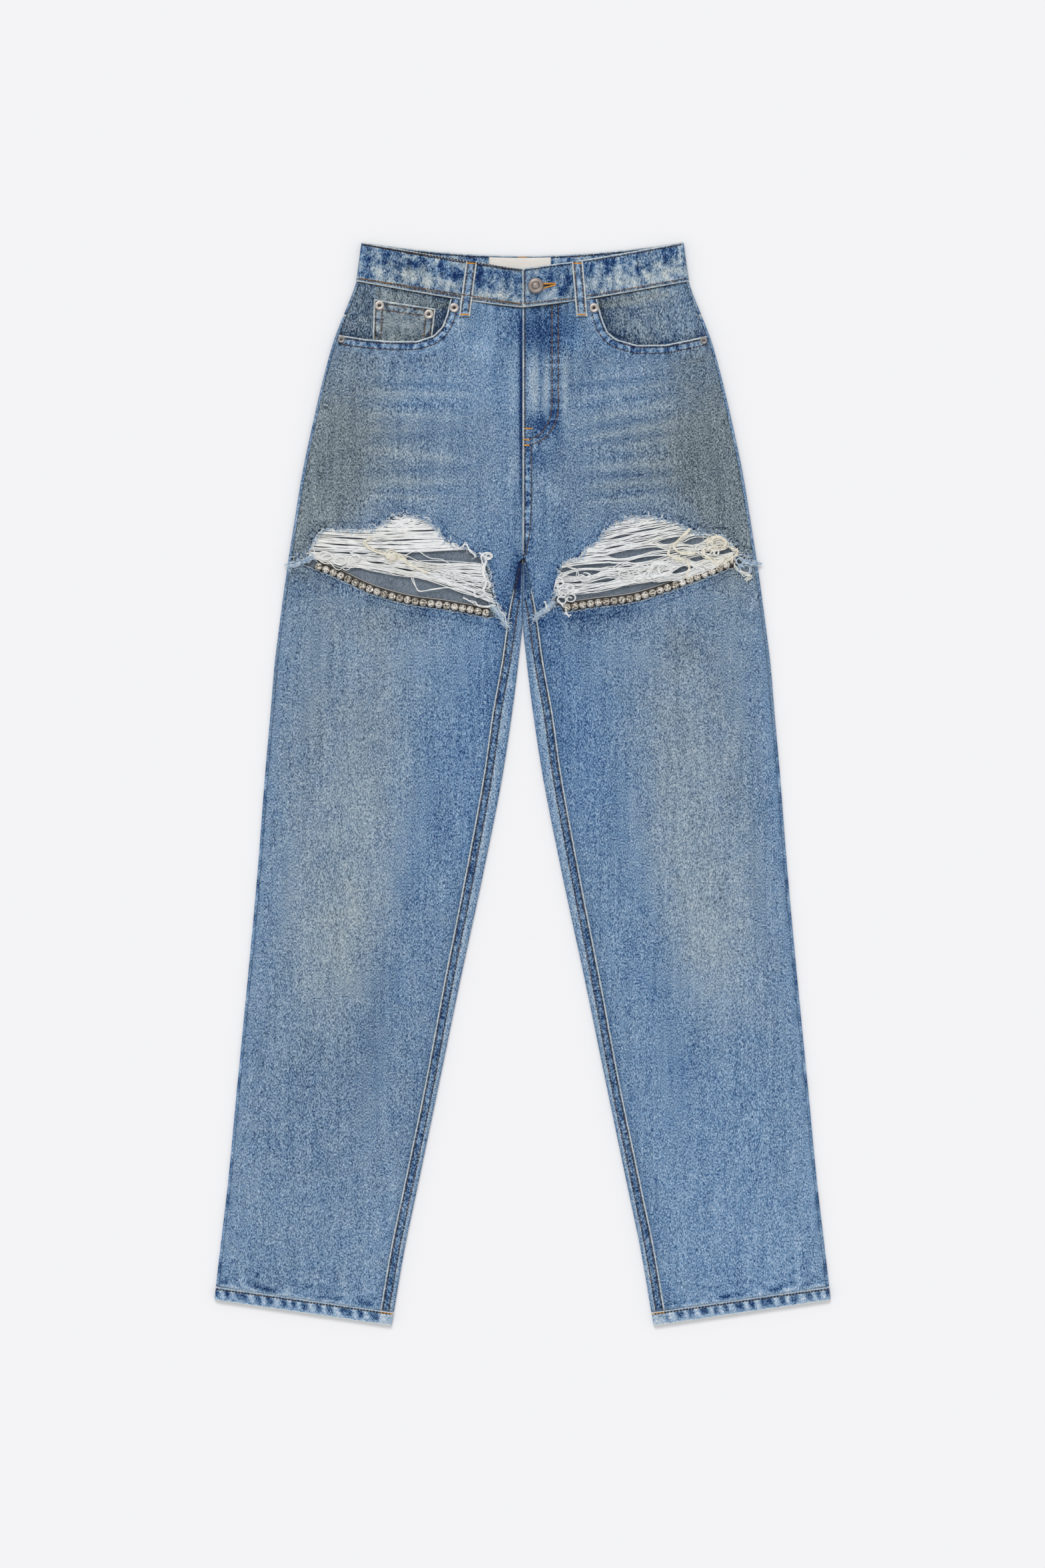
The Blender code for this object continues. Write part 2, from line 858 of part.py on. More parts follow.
def crystal_chains():
    """Strings of round stones in cups: a tube that narrows between the stones."""
    flatten = 0.5
    shape = ((0.04, 0.62), (0.28, 0.98), (0.72, 0.98))
    highest = max(p.y for side in (RIGHT, LEFT) for p in CHAIN[side])
    top_of_tape = tape_height(highest) + TAPE_CLOTH / 2
    z = top_of_tape + GAP + CRYSTAL / 2 * flatten
    for side, name in SIDES:
        places = chain_places(side, CRYSTALS * 20 + 1)
        points, radii = [], []
        for stone in range(CRYSTALS):
            for along, width in shape:
                x, y, _, _ = places[round((stone + along) * 20)]
                points.append(spot(side, x, y, z))
                radii.append(CRYSTAL / 2 * width)
        finish = material("crystal", CRYSTAL_GLASS, 0.1)
        tube(f"crystal_chain_{name}", points, radii, finish, flatten)


def rip_threads():
    """Plain walls that take the place of the loose white threads in the rips."""
    for side, name in SIDES:
        rows = THREADS[side]
        xs = [r.x for r in rows]
        torn_xs = [p.x for p in TORN_EDGE[side]]
        torn_ys = [p.y for p in TORN_EDGE[side]]

        def torn(x):
            return float(np.interp(x, torn_xs, torn_ys)) - 0.8

        def value(field, x):
            return float(np.interp(x, xs, [getattr(r, field) for r in rows]))

        def wall(band, first, last, top, bottom):
            def place(u, v):
                x = mix(first, last, u)
                y = mix(bottom(x), top(x), v)
                return spot(side, x, y, cloth_height(x, y))

            inside = [x for x in torn_xs if first + 1 < x < last - 1]
            shares = [(x - first) / (last - first) for x in (first, *inside, last)]
            bm = grid(shares, even(1), place)
            finish_cloth(f"rip_threads_{band}_{name}", bm, cotton(), 1.0)

        wall(
            "upper",
            64 if side == RIGHT else 66,
            204,
            torn,
            lambda x: value("slot_top", x),
        )
        wall(
            "lower",
            xs[0],
            xs[-1] - 1,
            lambda x: min(value("slot_bottom", x), torn(x)),
            lambda x: value("floor", x),
        )


def frayed_ends():
    """Strips of frayed cloth where each rip runs on to the seams, lying on the fronts."""
    above = CLOTH / 2 + GAP + 0.1 + FRAY_CLOTH / 2
    for side, name in SIDES:
        for end, line in FRAYS[side].items():
            slope = math.atan2(line[-1].y - line[0].y, line[-1].x - line[0].x)

            def place(station, v):
                off = mix(-FRAY_WIDTH, FRAY_WIDTH, v) / 2
                x = line[station].x - math.sin(slope) * off
                y = line[station].y + math.cos(slope) * off
                return spot(side, x, y, front_height(side, x, y) + above)

            bm = grid(range(len(line)), even(1), place)
            finish_cloth(f"fray_{end}_{name}", bm, cotton(), FRAY_CLOTH)


def turned(name, side, x, y, z, outline, finish, steps=16):
    """A turned metal piece from (radius, height) points, top to bottom."""
    mesh = bpy.data.meshes.new(name)
    bm = bmesh.new()
    verts = [bm.verts.new((r * MM, 0, h * MM)) for r, h in outline]
    for a, b in zip(verts, verts[1:]):
        bm.edges.new((a, b))
    bm.to_mesh(mesh)
    bm.free()
    obj = add_piece(name, mesh, finish)
    obj.location = spot(side, x, y, z)
    screw = obj.modifiers.new("turn", "SCREW")
    screw.steps = screw.render_steps = steps
    screw.use_merge_vertices = True
    screw.merge_threshold = 0.00001
    return obj


def rivets():
    """Domed rivets with a sunk ring: pocket corners and both ends of each mouth."""
    outline = ((0, 1.5), (1.3, 1.3), (1.9, 0.6), (3.6, 1.2), (4.9, 0.5), (4.9, 0), (0, 0))
    small = tuple((0.78 * r, 0.78 * h) for r, h in outline)

    def on_coin_pocket(side, x, y):
        return cloth_height(x, y) + STEP

    def on_front(side, x, y):
        return front_height(side, x, y)

    places = (
        ("coin_outer", RIGHT, 145.7, 1039.5, on_coin_pocket, outline),
        ("coin_inner", RIGHT, 95.5, 1030.5, on_coin_pocket, outline),
        ("inner_right", RIGHT, 69.6, 1037.0, on_front, outline),
        ("inner_left", LEFT, 72.8, 1037.0, on_front, outline),
        ("outer_right", RIGHT, 184.5, 1004.8, on_front, small),
        ("outer_left", LEFT, 184.5, 1003.7, on_front, small),
    )
    for name, side, x, y, height, shape in places:
        z = highest(lambda *at: height(side, *at), x, y, 6) + CLOTH / 2 + GAP
        turned(f"rivet_{name}", side, x, y, z, shape, nickel(), 14)


def button():
    """Shank button through the buttonhole end of the waistband."""
    z = band_height(LEFT, 13.5) + DOUBLE / 2 + GAP
    outline = (
        (0, 4.2),
        (3.0, 4.1),
        (3.5, 3.8),
        (6.4, 3.8),
        (7.3, 3.9),
        (7.9, 3.2),
        (7.9, 2.6),
        (7.0, 2.2),
        (3.8, 1.9),
        (3.8, 0),
        (0, 0),
    )
    turned("button", LEFT, 13.5, 1058.8, z, outline, nickel(), 28)


def main():
    clear_scene()
    back_pockets()
    back_loops()
    back_panels()
    yokes()
    waistband()
    label()
    facings()
    coin_pocket()
    chain_tapes()
    lower_fronts()
    upper_fronts()
    hems()
    front_loops()
    crystal_chains()
    rip_threads()
    frayed_ends()
    rivets()
    button()


main()
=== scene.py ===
"""Finish of the ripped jeans: washed denim, stitching, torn threads, crystals and metal.

Sizes are in millimetres, counted as in the part's own source: x outwards from the middle of
the garment, y up from the lowest point of the hems and z up from the surface it lies on, so
that one table serves both legs. "Right" and "left" are the wearer's, and right is at -X.
"""

import math
from collections import namedtuple

import bmesh
import bpy
import numpy as np
from bpy.props import FloatProperty, FloatVectorProperty, PointerProperty
from mathutils import Matrix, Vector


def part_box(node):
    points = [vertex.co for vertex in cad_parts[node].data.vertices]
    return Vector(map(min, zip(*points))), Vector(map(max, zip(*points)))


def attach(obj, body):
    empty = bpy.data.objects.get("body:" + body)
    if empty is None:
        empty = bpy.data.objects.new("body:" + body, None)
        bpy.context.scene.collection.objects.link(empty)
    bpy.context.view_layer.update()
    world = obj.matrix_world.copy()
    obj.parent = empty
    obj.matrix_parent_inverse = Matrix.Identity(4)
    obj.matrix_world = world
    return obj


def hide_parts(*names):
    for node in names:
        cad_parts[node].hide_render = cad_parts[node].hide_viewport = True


bl_info = {
    "name": "Ripped jeans",
    "version": (1, 0, 0),
    "blender": (4, 5, 0),
    "location": "View3D > Sidebar > Jeans",
    "description": "Builds the denim, stitching, torn threads, crystals and metal of a pair of jeans",
    "category": "Add Mesh",
}

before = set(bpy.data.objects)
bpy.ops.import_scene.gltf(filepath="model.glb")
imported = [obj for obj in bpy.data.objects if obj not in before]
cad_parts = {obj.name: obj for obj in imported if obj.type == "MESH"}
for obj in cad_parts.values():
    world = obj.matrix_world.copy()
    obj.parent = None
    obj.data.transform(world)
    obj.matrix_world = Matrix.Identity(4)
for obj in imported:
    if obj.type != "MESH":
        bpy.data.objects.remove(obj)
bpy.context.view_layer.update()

MM = 0.001
RIGHT, LEFT = -1, 1
SIDES = ((RIGHT, "right"), (LEFT, "left"))
FAR = 1e3  # a distance beyond any seam's reach

LENGTH = 1104.0
CLOTH, DOUBLE, GAP, SEAM = 1.2, 2.4, 0.3, 0.6
STEP = CLOTH + 0.4
BASE = 2.4
PUFF = 1.8  # how far the front stands up in the middle of a leg
HALF_WAIST = 164.2
YOKE_HALF, WAIST_HALF = 179, 168  # along the yoke's and the waist's seam
CROTCH, CROTCH_SPLIT = 782.0, 776.5  # above the split the inseam is closed
BAND_HEIGHT = 39.7
HEM_HEIGHT = 14.0
HEM_SLOPE = 26.0
FOLD_RADIUS = 0.9
FOLD_BEND = CLOTH / 2 + FOLD_RADIUS
FOLD_ANGLES = np.radians(np.linspace(-90, 90, 7))
ROUND_ANGLES = np.radians(np.linspace(-75, 75, 7))  # round a hem or the side of the waistband
ROUND_RADIUS = (DOUBLE + GAP) / 2
OUTSEAM_TURN = 3.0
CENTRE_LAP, INSEAM_LAP = 9.5, 9.0
SEAT_LIFT = CLOTH + GAP
CRYSTAL, CRYSTALS = 8.0, 23
LEVEL_FACE = 0.98  # a facet whose normal points up by more than this is level
# painted reflection of a stone's level table
TABLE_GLINT = 0.38
FACING_BOTTOM, FACING_INNER = 984, 60
COIN_BOTTOM, COIN_INNER, COIN_OUTER = 991, 91, 154
COIN_WIDTH, COIN_HEIGHT = 61, 50
BAND_FRONT = DOUBLE * 1.5 + GAP
BUTTON_END = 34
EYELET = (20.0, 33.5)  # from its round end to its point
LOOP_WIDTH, LOOP_LENGTH, LOOP_CLOTH, LOOP_START = 11.2, 56, 2.0, 1084
TAPE_CLOTH, TAPE_BELOW, TAPE_ABOVE = 1.0, 6.5, 5.9
FRAY_WIDTH = 4.6
LABEL_RIGHT, LABEL_LEFT, LABEL_HEIGHT = -34, 29, 26
FLOOR_HALF, FLOOR_DROP = 6, 0.4  # metres to each side, and millimetres under the cloth
SUN_TILT = (math.radians(-34), math.radians(-12), 0)


def table(kind, *rows):
    """Rows of bare values, each as a named one."""
    return tuple(kind(*row) for row in rows)


Section = namedtuple("Section", "y outer inner turn")
SECTIONS = table(
    Section, (0, 316.0, 133.6, 14.0), (26, 314.0, 129.3, 14.0), (80, 308.0, 120.0, 14.0),
    (135, 301.5, 108.5, 14.0), (243, 291.0, 86.0, 14.0), (352, 280.3, 63.6, 16.0), (461, 270.3, 40.2, 18.0),
    (570, 261.8, 19.0, 19.5), (624, 257.0, 10.9, 20.0), (679, 252.3, 4.0, 17.0), (717, 247.5, 0.2, 15.5),
    (752, 242.8, 0.2, 9.2), (775, 239.5, 0.2, 4.5), (815, 233.2, 0.2, 0.0), (869, 224.4, 0.2, 0.0),
    (923, 213.0, 0.2, 0.0), (978, 199.8, 0.2, 0.0), (1005, 192.0, 0.2, 0.0), (1032, 181.5, 0.2, 0.0),
    (1064, 169.5, 0.2, 0.0), (1104, 164.2, 0.2, 0.0),
)

# Lines across a front, as (x, y) from the middle outwards.
POCKET_MOUTH = {
    RIGHT: ((73.5, 1046), (77, 1030.5), (82, 1017.5), (91, 1008.5), (108, 1003), (134, 1003),
            (160, 1005), (190, 1010)),
    LEFT: ((76, 1046), (78.5, 1035.5), (82, 1024), (87, 1012), (96, 1005), (117, 999),
           (146, 999.5), (168, 1004), (190, 1009)),
}
TORN_EDGE = {
    RIGHT: ((15.5, 717), (27, 740), (31, 757), (33, 770), (38, 782.5), (46, 784.5), (56, 792),
            (66, 794), (79, 801), (84, 809), (94, 818), (107, 824), (123.5, 827), (133, 825.5),
            (140, 820), (148, 813), (157, 810), (181, 810.5), (198, 811.5), (206, 809),
            (213, 800), (216, 790), (222, 784), (235, 783)),
    LEFT: ((15, 721), (32, 742), (34.5, 757), (36.5, 771), (42.5, 778), (59, 783), (64, 791),
           (77, 799), (80.5, 807.5), (93.5, 817.5), (110, 824), (126.5, 825.5), (143, 822),
           (154.5, 817.5), (168, 813), (184, 805), (204, 805), (212, 798), (218, 789.5),
           (223, 785), (235, 784)),
}
CHAIN = {
    RIGHT: ((33.5, 725.6), (74, 733.2), (119, 739.8), (157, 751), (188, 765.4), (211.5, 775)),
    LEFT: ((41.5, 731.5), (76, 736.5), (113, 741.4), (150, 752.5), (188, 766.6), (207, 774.6),
           (218, 781.5)),
}
FRAYS = {
    RIGHT: {"outer": ((214, 782.5), (221, 779), (230, 776), (239, 773.5)),
            "inner": ((15.3, 711.5), (21, 720), (27, 728.5), (31, 734))},
    LEFT: {"outer": ((224, 779.5), (229, 777.5), (235, 776.5), (241, 776.5)),
           "inner": ((11.2, 720), (19, 726), (27, 732), (33, 736.5))},
}

Wash = namedtuple("Wash", "x y half_x half_y turn amount cast")
# Faded and dark areas of both fronts: amount is paler or darker, cast is towards grey-green.
WASHES = table(
    Wash, (160, 640, 52, 110, 3, 0.010, 0.42), (174, 468, 56, 130, 6, 0.048, 0.46),
    (196, 376, 46, 84, 10, 0.035, 0.30), (226, 600, 30, 170, 5, -0.005, 0.32),
    (205, 905, 62, 120, 8, -0.05, 0.85), (228, 815, 44, 70, 8, -0.025, 0.65),
    (150, 880, 70, 60, 0, -0.01, 0.35), (70, 870, 90, 76, 0, -0.020, 0.12),
    (30, 640, 34, 120, 5, -0.035, -0.2), (76, 580, 36, 110, 8, -0.040, -0.15),
    (116, 440, 24, 120, 12, -0.032, -0.1), (148, 330, 26, 70, 12, -0.035, -0.05),
    (190, 270, 60, 40, 8, -0.030, 0.0), (250, 330, 16, 130, 5, -0.01, 0.05),
    (190, 200, 70, 50, 8, -0.015, -0.05), (210, 100, 90, 60, 8, 0.0, -0.1),
    (20, 800, 34, 46, 0, -0.04, -0.1), (16, 745, 18, 26, 0, -0.05, -0.1),
    (52, 1016, 12, 16, 20, -0.055, -0.1), (96, 985, 46, 8, 0, -0.03, 0.1),
    (170, 985, 24, 10, 14, -0.035, 0.2),
)
# Dark and pale patches of the waistband, where y is the distance below its top edge. The left one at (13.5,
# 20) is painted shadow round the button.
BAND_PATCHES = {
    RIGHT: table(
        Wash, (140, 18, 12, 4.5, 4, -0.10, -0.2), (160, 16, 4, 6, 0, -0.07, -0.1),
        (74, 15, 9, 5, 0, -0.09, -0.2), (63, 20, 7, 9, 0, -0.13, -0.3), (43, 13, 6, 9, 0, -0.12, -0.3),
        (37, 20, 6, 4, 20, -0.07, -0.2), (12, 14, 9, 12, 0, -0.06, -0.2), (104, 12, 16, 5, 0, -0.04, 0.0),
        (120, 7, 22, 4, 0, 0.04, 0.2), (90, 30, 50, 6, 0, 0.03, 0.25), (112, 18, 22, 14, 0, -0.055, 0.3),
        (152, 10, 9, 9, 0, 0.03, 0.25),
    ),
    LEFT: table(
        Wash, (150, 12, 9, 6, 0, -0.09, -0.2), (120, 16, 12, 5, 6, -0.08, -0.1),
        (90, 13, 8, 7, 0, -0.07, -0.1), (67, 18, 6, 10, 0, -0.12, -0.3), (46, 17, 9, 12, 0, -0.14, -0.3),
        (44, 30, 9, 7, 0, -0.15, -0.3), (146, 16, 22, 12, 0, -0.035, 0.15), (32, 10, 8, 6, 0, -0.06, -0.1),
        # On the next line, the row at (13.5, 20) is painted shadow round the button.
        (132, 6, 14, 3, 0, 0.05, 0.2), (104, 29, 40, 6, 0, 0.03, 0.2), (13.5, 20, 10, 10, 0, -0.09, -0.2),
        (29, 15, 8, 8, 0, -0.10, -0.4), (28, 30, 10, 6, 0, -0.04, -0.3),
    ),
}
# Wear that only one front has, mostly beside the fly, and painted shade: on the right front the shadow beside
# the left front's lapped edge at x 1, the shadow at the crotch at (3, 768) and the shadow under the belt loop
# at (45, 1034); on the left front the shadow under the waistband at (32, 1037).
OWN_WASHES = {
    RIGHT: table(
        # The first two rows are painted shadow: beside the left front's lapped edge, and at the crotch.
        Wash, (1.0, 940, 2.2, 96, 0, -0.45, -0.1), (3, 768, 7, 16, 0, -0.22, -0.2),
        (10.5, 948, 4.0, 52, 0, 0.075, 0.1), (16, 1010, 22, 34, 0, -0.055, -0.1),
        (10, 868, 5, 22, 12, 0.06, 0.1), (24, 846, 5, 22, 28, 0.03, 0.0), (34, 1020, 5, 20, 16, 0.035, 0.0),
        (46, 996, 16, 14, 10, 0.08, -0.1), (25, 952, 11, 24, 0, -0.03, -0.1),
        (196, 200, 110, 210, 8, -0.012, 0.2), (150, 720, 60, 26, 0, 0.0, 0.25),
        (45, 560, 20, 120, 5, 0.022, -0.2), (226, 755, 18, 22, 0, -0.045, -0.2),
        (225, 660, 25, 40, 5, -0.024, 0.0), (120, 718, 40, 14, 0, -0.024, 0.05),
        (60, 955, 56, 18, 0, 0.014, -0.1), (150, 958, 22, 12, 0, -0.022, 0.12),
        (140, 100, 22, 80, 10, 0.034, -0.05), (260, 44, 18, 20, 10, -0.04, 0.05),
        (15, 722, 12, 16, 0, -0.12, 0.0), (12, 925, 12, 16, 0, -0.03, -0.1),
        (255, 420, 12, 34, 0, -0.028, 0.0), (90, 726, 44, 7, -8, -0.05, -0.1),
        (6, 1022, 10, 20, 0, -0.13, -0.2), (34, 1000, 8, 44, 4, 0.05, -0.1),
        # On the next line, the row at (45, 1034) is painted shadow under the belt loop.
        (64, 1020, 20, 8, 0, 0.06, 0.1), (45, 1034, 10, 6, 0, -0.05, 0.1),
    ),
    LEFT: table(
        Wash, (18, 1012, 32, 24, 0, -0.23, -0.4), (12, 962, 5.0, 32, 0, 0.17, 0.35),
        (24.5, 960, 4.0, 32, 0, 0.14, 0.35), (18.6, 952, 1.9, 42, 0, -0.10, -0.1),
        (43, 962, 4.4, 40, 0, 0.13, 0.25), (34, 992, 5, 28, -8, 0.05, 0.1),
        (17, 918, 18, 12, 0, -0.21, -0.3), (14, 884, 9, 10, 0, -0.09, -0.3),
        (33, 925, 5, 30, 6, -0.10, -0.2), (20, 882, 20, 12, 0, -0.06, -0.1),
        (36, 842, 6, 26, 30, 0.04, 0.0), (22, 816, 4, 22, 24, 0.035, 0.0),
        (50, 990, 40, 40, 0, -0.035, 0.1), (54, 1005, 10, 12, 0, 0.05, -0.35),
        # On the next line, the row at (32, 1037) is painted shadow under the waistband.
        (32, 1037, 26, 7, 0, -0.08, 0.15), (110, 868, 90, 60, 0, -0.028, 0.1),
        (76, 716, 34, 14, 10, -0.05, 0.1), (165, 690, 26, 24, 0, -0.04, 0.2),
        (52, 575, 22, 100, 5, 0.016, -0.15), (252, 570, 26, 120, 5, -0.012, -0.2),
        (185, 190, 100, 190, 8, 0.010, -0.17), (190, 930, 30, 60, 0, -0.012, 0.0),
        (140, 370, 50, 70, 8, -0.012, -0.08), (150, 718, 60, 16, 0, -0.022, 0.0),
        (48, 690, 26, 40, 0, -0.045, 0.04), (50, 960, 18, 14, 0, -0.04, 0.0),
        (155, 965, 34, 16, 10, -0.028, 0.05), (90, 880, 24, 18, 0, 0.020, -0.15),
        (80, 723, 40, 8, 4, -0.085, -0.05), (15, 722, 12, 16, 0, -0.08, 0.0),
        (45, 815, 16, 30, 0, -0.035, 0.0), (14, 758, 10, 14, 0, 0.05, -0.1),
        (225, 645, 14, 20, 0, -0.025, -0.1), (182, 402, 24, 16, 0, 0.03, 0.0),
        (300, 140, 16, 30, 0, 0.03, -0.15), (240, 70, 80, 50, 8, 0.010, -0.12),
    ),
}

Crease = namedtuple("Crease", "x y end_x end_y width depth")
# Whiskers worn pale or left dark across each hip, where depth is the change of tone.
WHISKERS = {
    RIGHT: table(
        Crease, (70, 1025, 46, 1014, 2.5, 0.05), (58, 1012, 30, 1004, 2.5, -0.04),
        (90, 967, 160, 970, 5, 0.038), (50, 958, 150, 959, 4, -0.045), (50, 948, 165, 951, 5, 0.068),
        (52, 938, 168, 938, 4, -0.053), (48, 924, 165, 930, 5, 0.053), (60, 910, 150, 902, 6, -0.038),
        (110, 913, 170, 912, 4, 0.030), (56, 882, 165, 893, 6, 0.053), (58, 873, 172, 869, 4, -0.045),
        (46, 860, 170, 860, 5, 0.060), (60, 850, 165, 850, 4, -0.038), (58, 842, 165, 845, 4, 0.045),
    ),
    LEFT: table(
        Crease, (48, 964, 112, 971, 5, 0.038), (50, 956, 150, 968, 4, -0.038),
        (46, 944, 158, 961, 5, 0.045), (50, 934, 160, 951, 4, -0.038), (46, 919, 162, 942, 6, 0.057),
        (52, 911, 164, 931, 4, -0.038), (50, 902, 164, 921, 5, 0.063), (54, 896, 162, 911, 3, -0.033),
        (56, 890, 160, 903, 4, 0.042), (52, 882, 158, 890, 4, -0.033), (48, 872, 164, 880, 5, 0.054),
        (50, 864, 162, 869, 4, -0.048), (54, 853, 158, 862, 5, 0.048), (50, 844, 164, 853, 4, -0.045),
        (54, 837, 150, 845, 4, 0.051), (10, 771, 36, 748, 2.2, 0.06), (20, 776, 48, 757, 2.2, 0.05),
        (8, 758, 24, 738, 2.2, 0.05),
    ),
}
# Soft ridges, and troughs where depth is below 0, on both fronts.
CREASES = table(
    Crease, (10, 884, 16, 850, 4.5, 0.7), (22, 866, 42, 826, 6, 0.55), (18, 822, 44, 800, 5, 0.5),
    (9, 990, 11, 914, 4, 0.45), (66, 1000, 52, 968, 6, 0.45), (90, 990, 100, 974, 5, 0.4),
    (118, 986, 124, 968, 5, 0.35), (150, 986, 140, 966, 6, 0.4), (178, 990, 168, 968, 5, 0.45),
    (60, 942, 158, 934, 12, 0.5), (70, 894, 170, 882, 14, 0.55), (60, 918, 150, 908, 8, -0.35),
    (84, 846, 186, 838, 13, 0.4), (214, 880, 206, 800, 12, 0.5), (40, 700, 74, 640, 14, 0.5),
    (58, 690, 150, 672, 16, 0.35), (204, 720, 226, 600, 18, 0.5), (96, 560, 128, 430, 20, 0.55),
    (176, 540, 200, 410, 22, -0.4), (238, 500, 252, 380, 16, 0.45), (112, 360, 196, 340, 18, 0.35),
    (144, 320, 160, 190, 20, 0.45), (222, 290, 240, 150, 20, -0.4), (284, 210, 276, 120, 10, 0.5),
)
BACK_CREASES = table(
    Crease, (24, 830, 96, 806, 12, 0.5), (30, 800, 120, 772, 14, 0.45), (160, 812, 216, 790, 12, 0.4),
    (60, 560, 150, 540, 18, 0.5), (80, 520, 210, 500, 16, -0.35), (110, 470, 220, 462, 14, 0.4),
    (190, 300, 206, 170, 20, 0.4),
)


def column(name, y):
    return smooth(y, [s.y for s in SECTIONS], [getattr(s, name) for s in SECTIONS])


def smooth(at, stations, values):
    """Values on a smooth curve through the table's rows."""
    stations, values = np.asarray(stations, float), np.asarray(values, float)
    slopes = np.gradient(values, stations)
    k = np.clip(np.searchsorted(stations, at) - 1, 0, len(stations) - 2)
    span = stations[k + 1] - stations[k]
    t = np.clip((at - stations[k]) / span, 0, 1)
    ends = (2 * t**3 - 3 * t**2 + 1) * values[k] + (3 * t**2 - 2 * t**3) * values[k + 1]
    return ends + span * ((t**3 - 2 * t**2 + t) * slopes[k] + (t**3 - t**2) * slopes[k + 1])


def ramp(value, start, stop):
    """0 up to start, 1 from stop, and a soft step between."""
    t = np.clip((value - start) / (stop - start), 0, 1)
    return t * t * (3 - 2 * t)


def mix(a, b, share):
    return a + (b - a) * share


def close_to(value, reach):
    """1 where value is 0, fading out over reach on both sides."""
    return np.exp(-((value / reach) ** 2))


def outer(y):
    return column("outer", y)


def inner(y):
    return np.maximum(0.2, column("inner", y))


def turn(y):
    return np.maximum(0.0, column("turn", y))


def seat_lift(y):
    return SEAT_LIFT * ramp(y, 725, 770)


def hem_line(x):
    """Height of the slanting lower end of a leg."""
    low, high = SECTIONS[0].inner, SECTIONS[0].outer
    return HEM_SLOPE * (x - low) / (high - low)


def row_slope(y):
    """Slant of the rows of the cloth, which fades out towards the crotch."""
    across = SECTIONS[0].outer - SECTIONS[0].inner
    return HEM_SLOPE / across * np.maximum(0.0, 1 - y / CROTCH)


def lean(x):
    """How far the side of the waistband leans outwards from its top to its foot."""
    return 5.4 * ramp(np.abs(x), 0, 60)


def front_top(x):
    return 1077 + 27 * (np.abs(x) / HALF_WAIST) ** 1.15


def back_top(x):
    return 1090 + 14 * (np.abs(x) / HALF_WAIST) ** 1.8


def front_waist_seam(x):
    return front_top(np.abs(x) - lean(x)) - BAND_HEIGHT


def back_waist_seam(x):
    return back_top(np.abs(x) - lean(x)) - BAND_HEIGHT


def yoke_seam(x):
    return 975 + 54 * (np.abs(x) / 182) ** 0.95


def front_edge(y):
    """Outer edge of a front, beside the back's turned edge."""
    return outer(y) - OUTSEAM_TURN - SEAM / 2


def puff(x, y):
    """How far a front stands up over the back."""
    from_outer = ramp(outer(y) - x, 4, 30)
    from_seam = x - inner(y) - turn(y)
    from_inner = mix(ramp(from_seam, -2, 26), 1.0, ramp(y, 745, 800))
    from_waist = 1 - ramp(y, 940, 1025)
    return PUFF * from_outer * from_inner * from_waist


def cloth_height(x, y):
    """Middle of the cloth of a front without creases."""
    return BASE + seat_lift(y) + puff(np.maximum(x, 0), y)


def over_facing(x, y):
    return ramp(np.minimum(y - FACING_BOTTOM, x - FACING_INNER), -36, -16)


def over_coin_pocket(x, y):
    inside = np.minimum(np.minimum(y - COIN_BOTTOM, x - COIN_INNER), COIN_OUTER - x)
    return ramp(inside, -34, -14)


def segment(x, y, row):
    """Distance from a crease's line, and how near its middle a point is, from 0 to 1."""
    dx, dy = row.end_x - row.x, row.end_y - row.y
    t = np.clip(((x - row.x) * dx + (y - row.y) * dy) / (dx * dx + dy * dy), 0, 1)
    return np.hypot(x - row.x - t * dx, y - row.y - t * dy), np.sin(math.pi * mix(0.08, 0.92, t))


def creased(creases, x, y):
    """Height of the creases, in millimetres."""
    total = 0.0
    for row in creases:
        away, middle = segment(x, y, row)
        total = total + row.depth * middle * close_to(away, row.width * 0.6)
    return total


def front_height(side, x, y):
    """Middle of the cloth of a front, with its creases away from the seams."""
    z = cloth_height(x, y) + STEP * over_facing(x, y)
    calm = ramp(outer(y) - x, 6, 26) * (1 - ramp(y, 985, 1010)) * ramp(y, 30, 70)
    z = z + creased(CREASES, x, y) * calm * ramp(x - inner(y) - turn(y) * (y < 720), 0, 8)
    if side == RIGHT:
        return z + STEP * over_coin_pocket(x, y)
    return z + STEP * (1 - ramp(x, CENTRE_LAP + 1, CENTRE_LAP + 9)) * ramp(y, 748, 774)


def band_height(side, x):
    z = SEAT_LIFT + BAND_FRONT + 0.9 * (1 - ramp(np.abs(x), 36, 46))
    if side == LEFT:
        z = z + (DOUBLE + GAP) * (1 - ramp(x, BUTTON_END + 2, BUTTON_END + 12))
    return z


def chain_line(side, x):
    return smooth(x, *zip(*CHAIN[side]))


def tape_height(y):
    return CLOTH + GAP + TAPE_CLOTH / 2 + seat_lift(y) + 0.3


def spot(side, x, y, z):
    """Places of the garment's points, in metres, one row each."""
    x, y, z = np.broadcast_arrays(x, y, z)
    return np.stack([side * x, y - LENGTH / 2, z], axis=-1).reshape(-1, 3) * MM


def run_along(points):
    """How far along a line of (x, y) points each one lies."""
    return np.concatenate([[0], np.cumsum(np.hypot(*np.diff(points, axis=0).T))])


def found_at(at, run, points):
    """The coordinates of a line of points at distances along it."""
    return [np.interp(at, run, values) for values in np.transpose(points)]


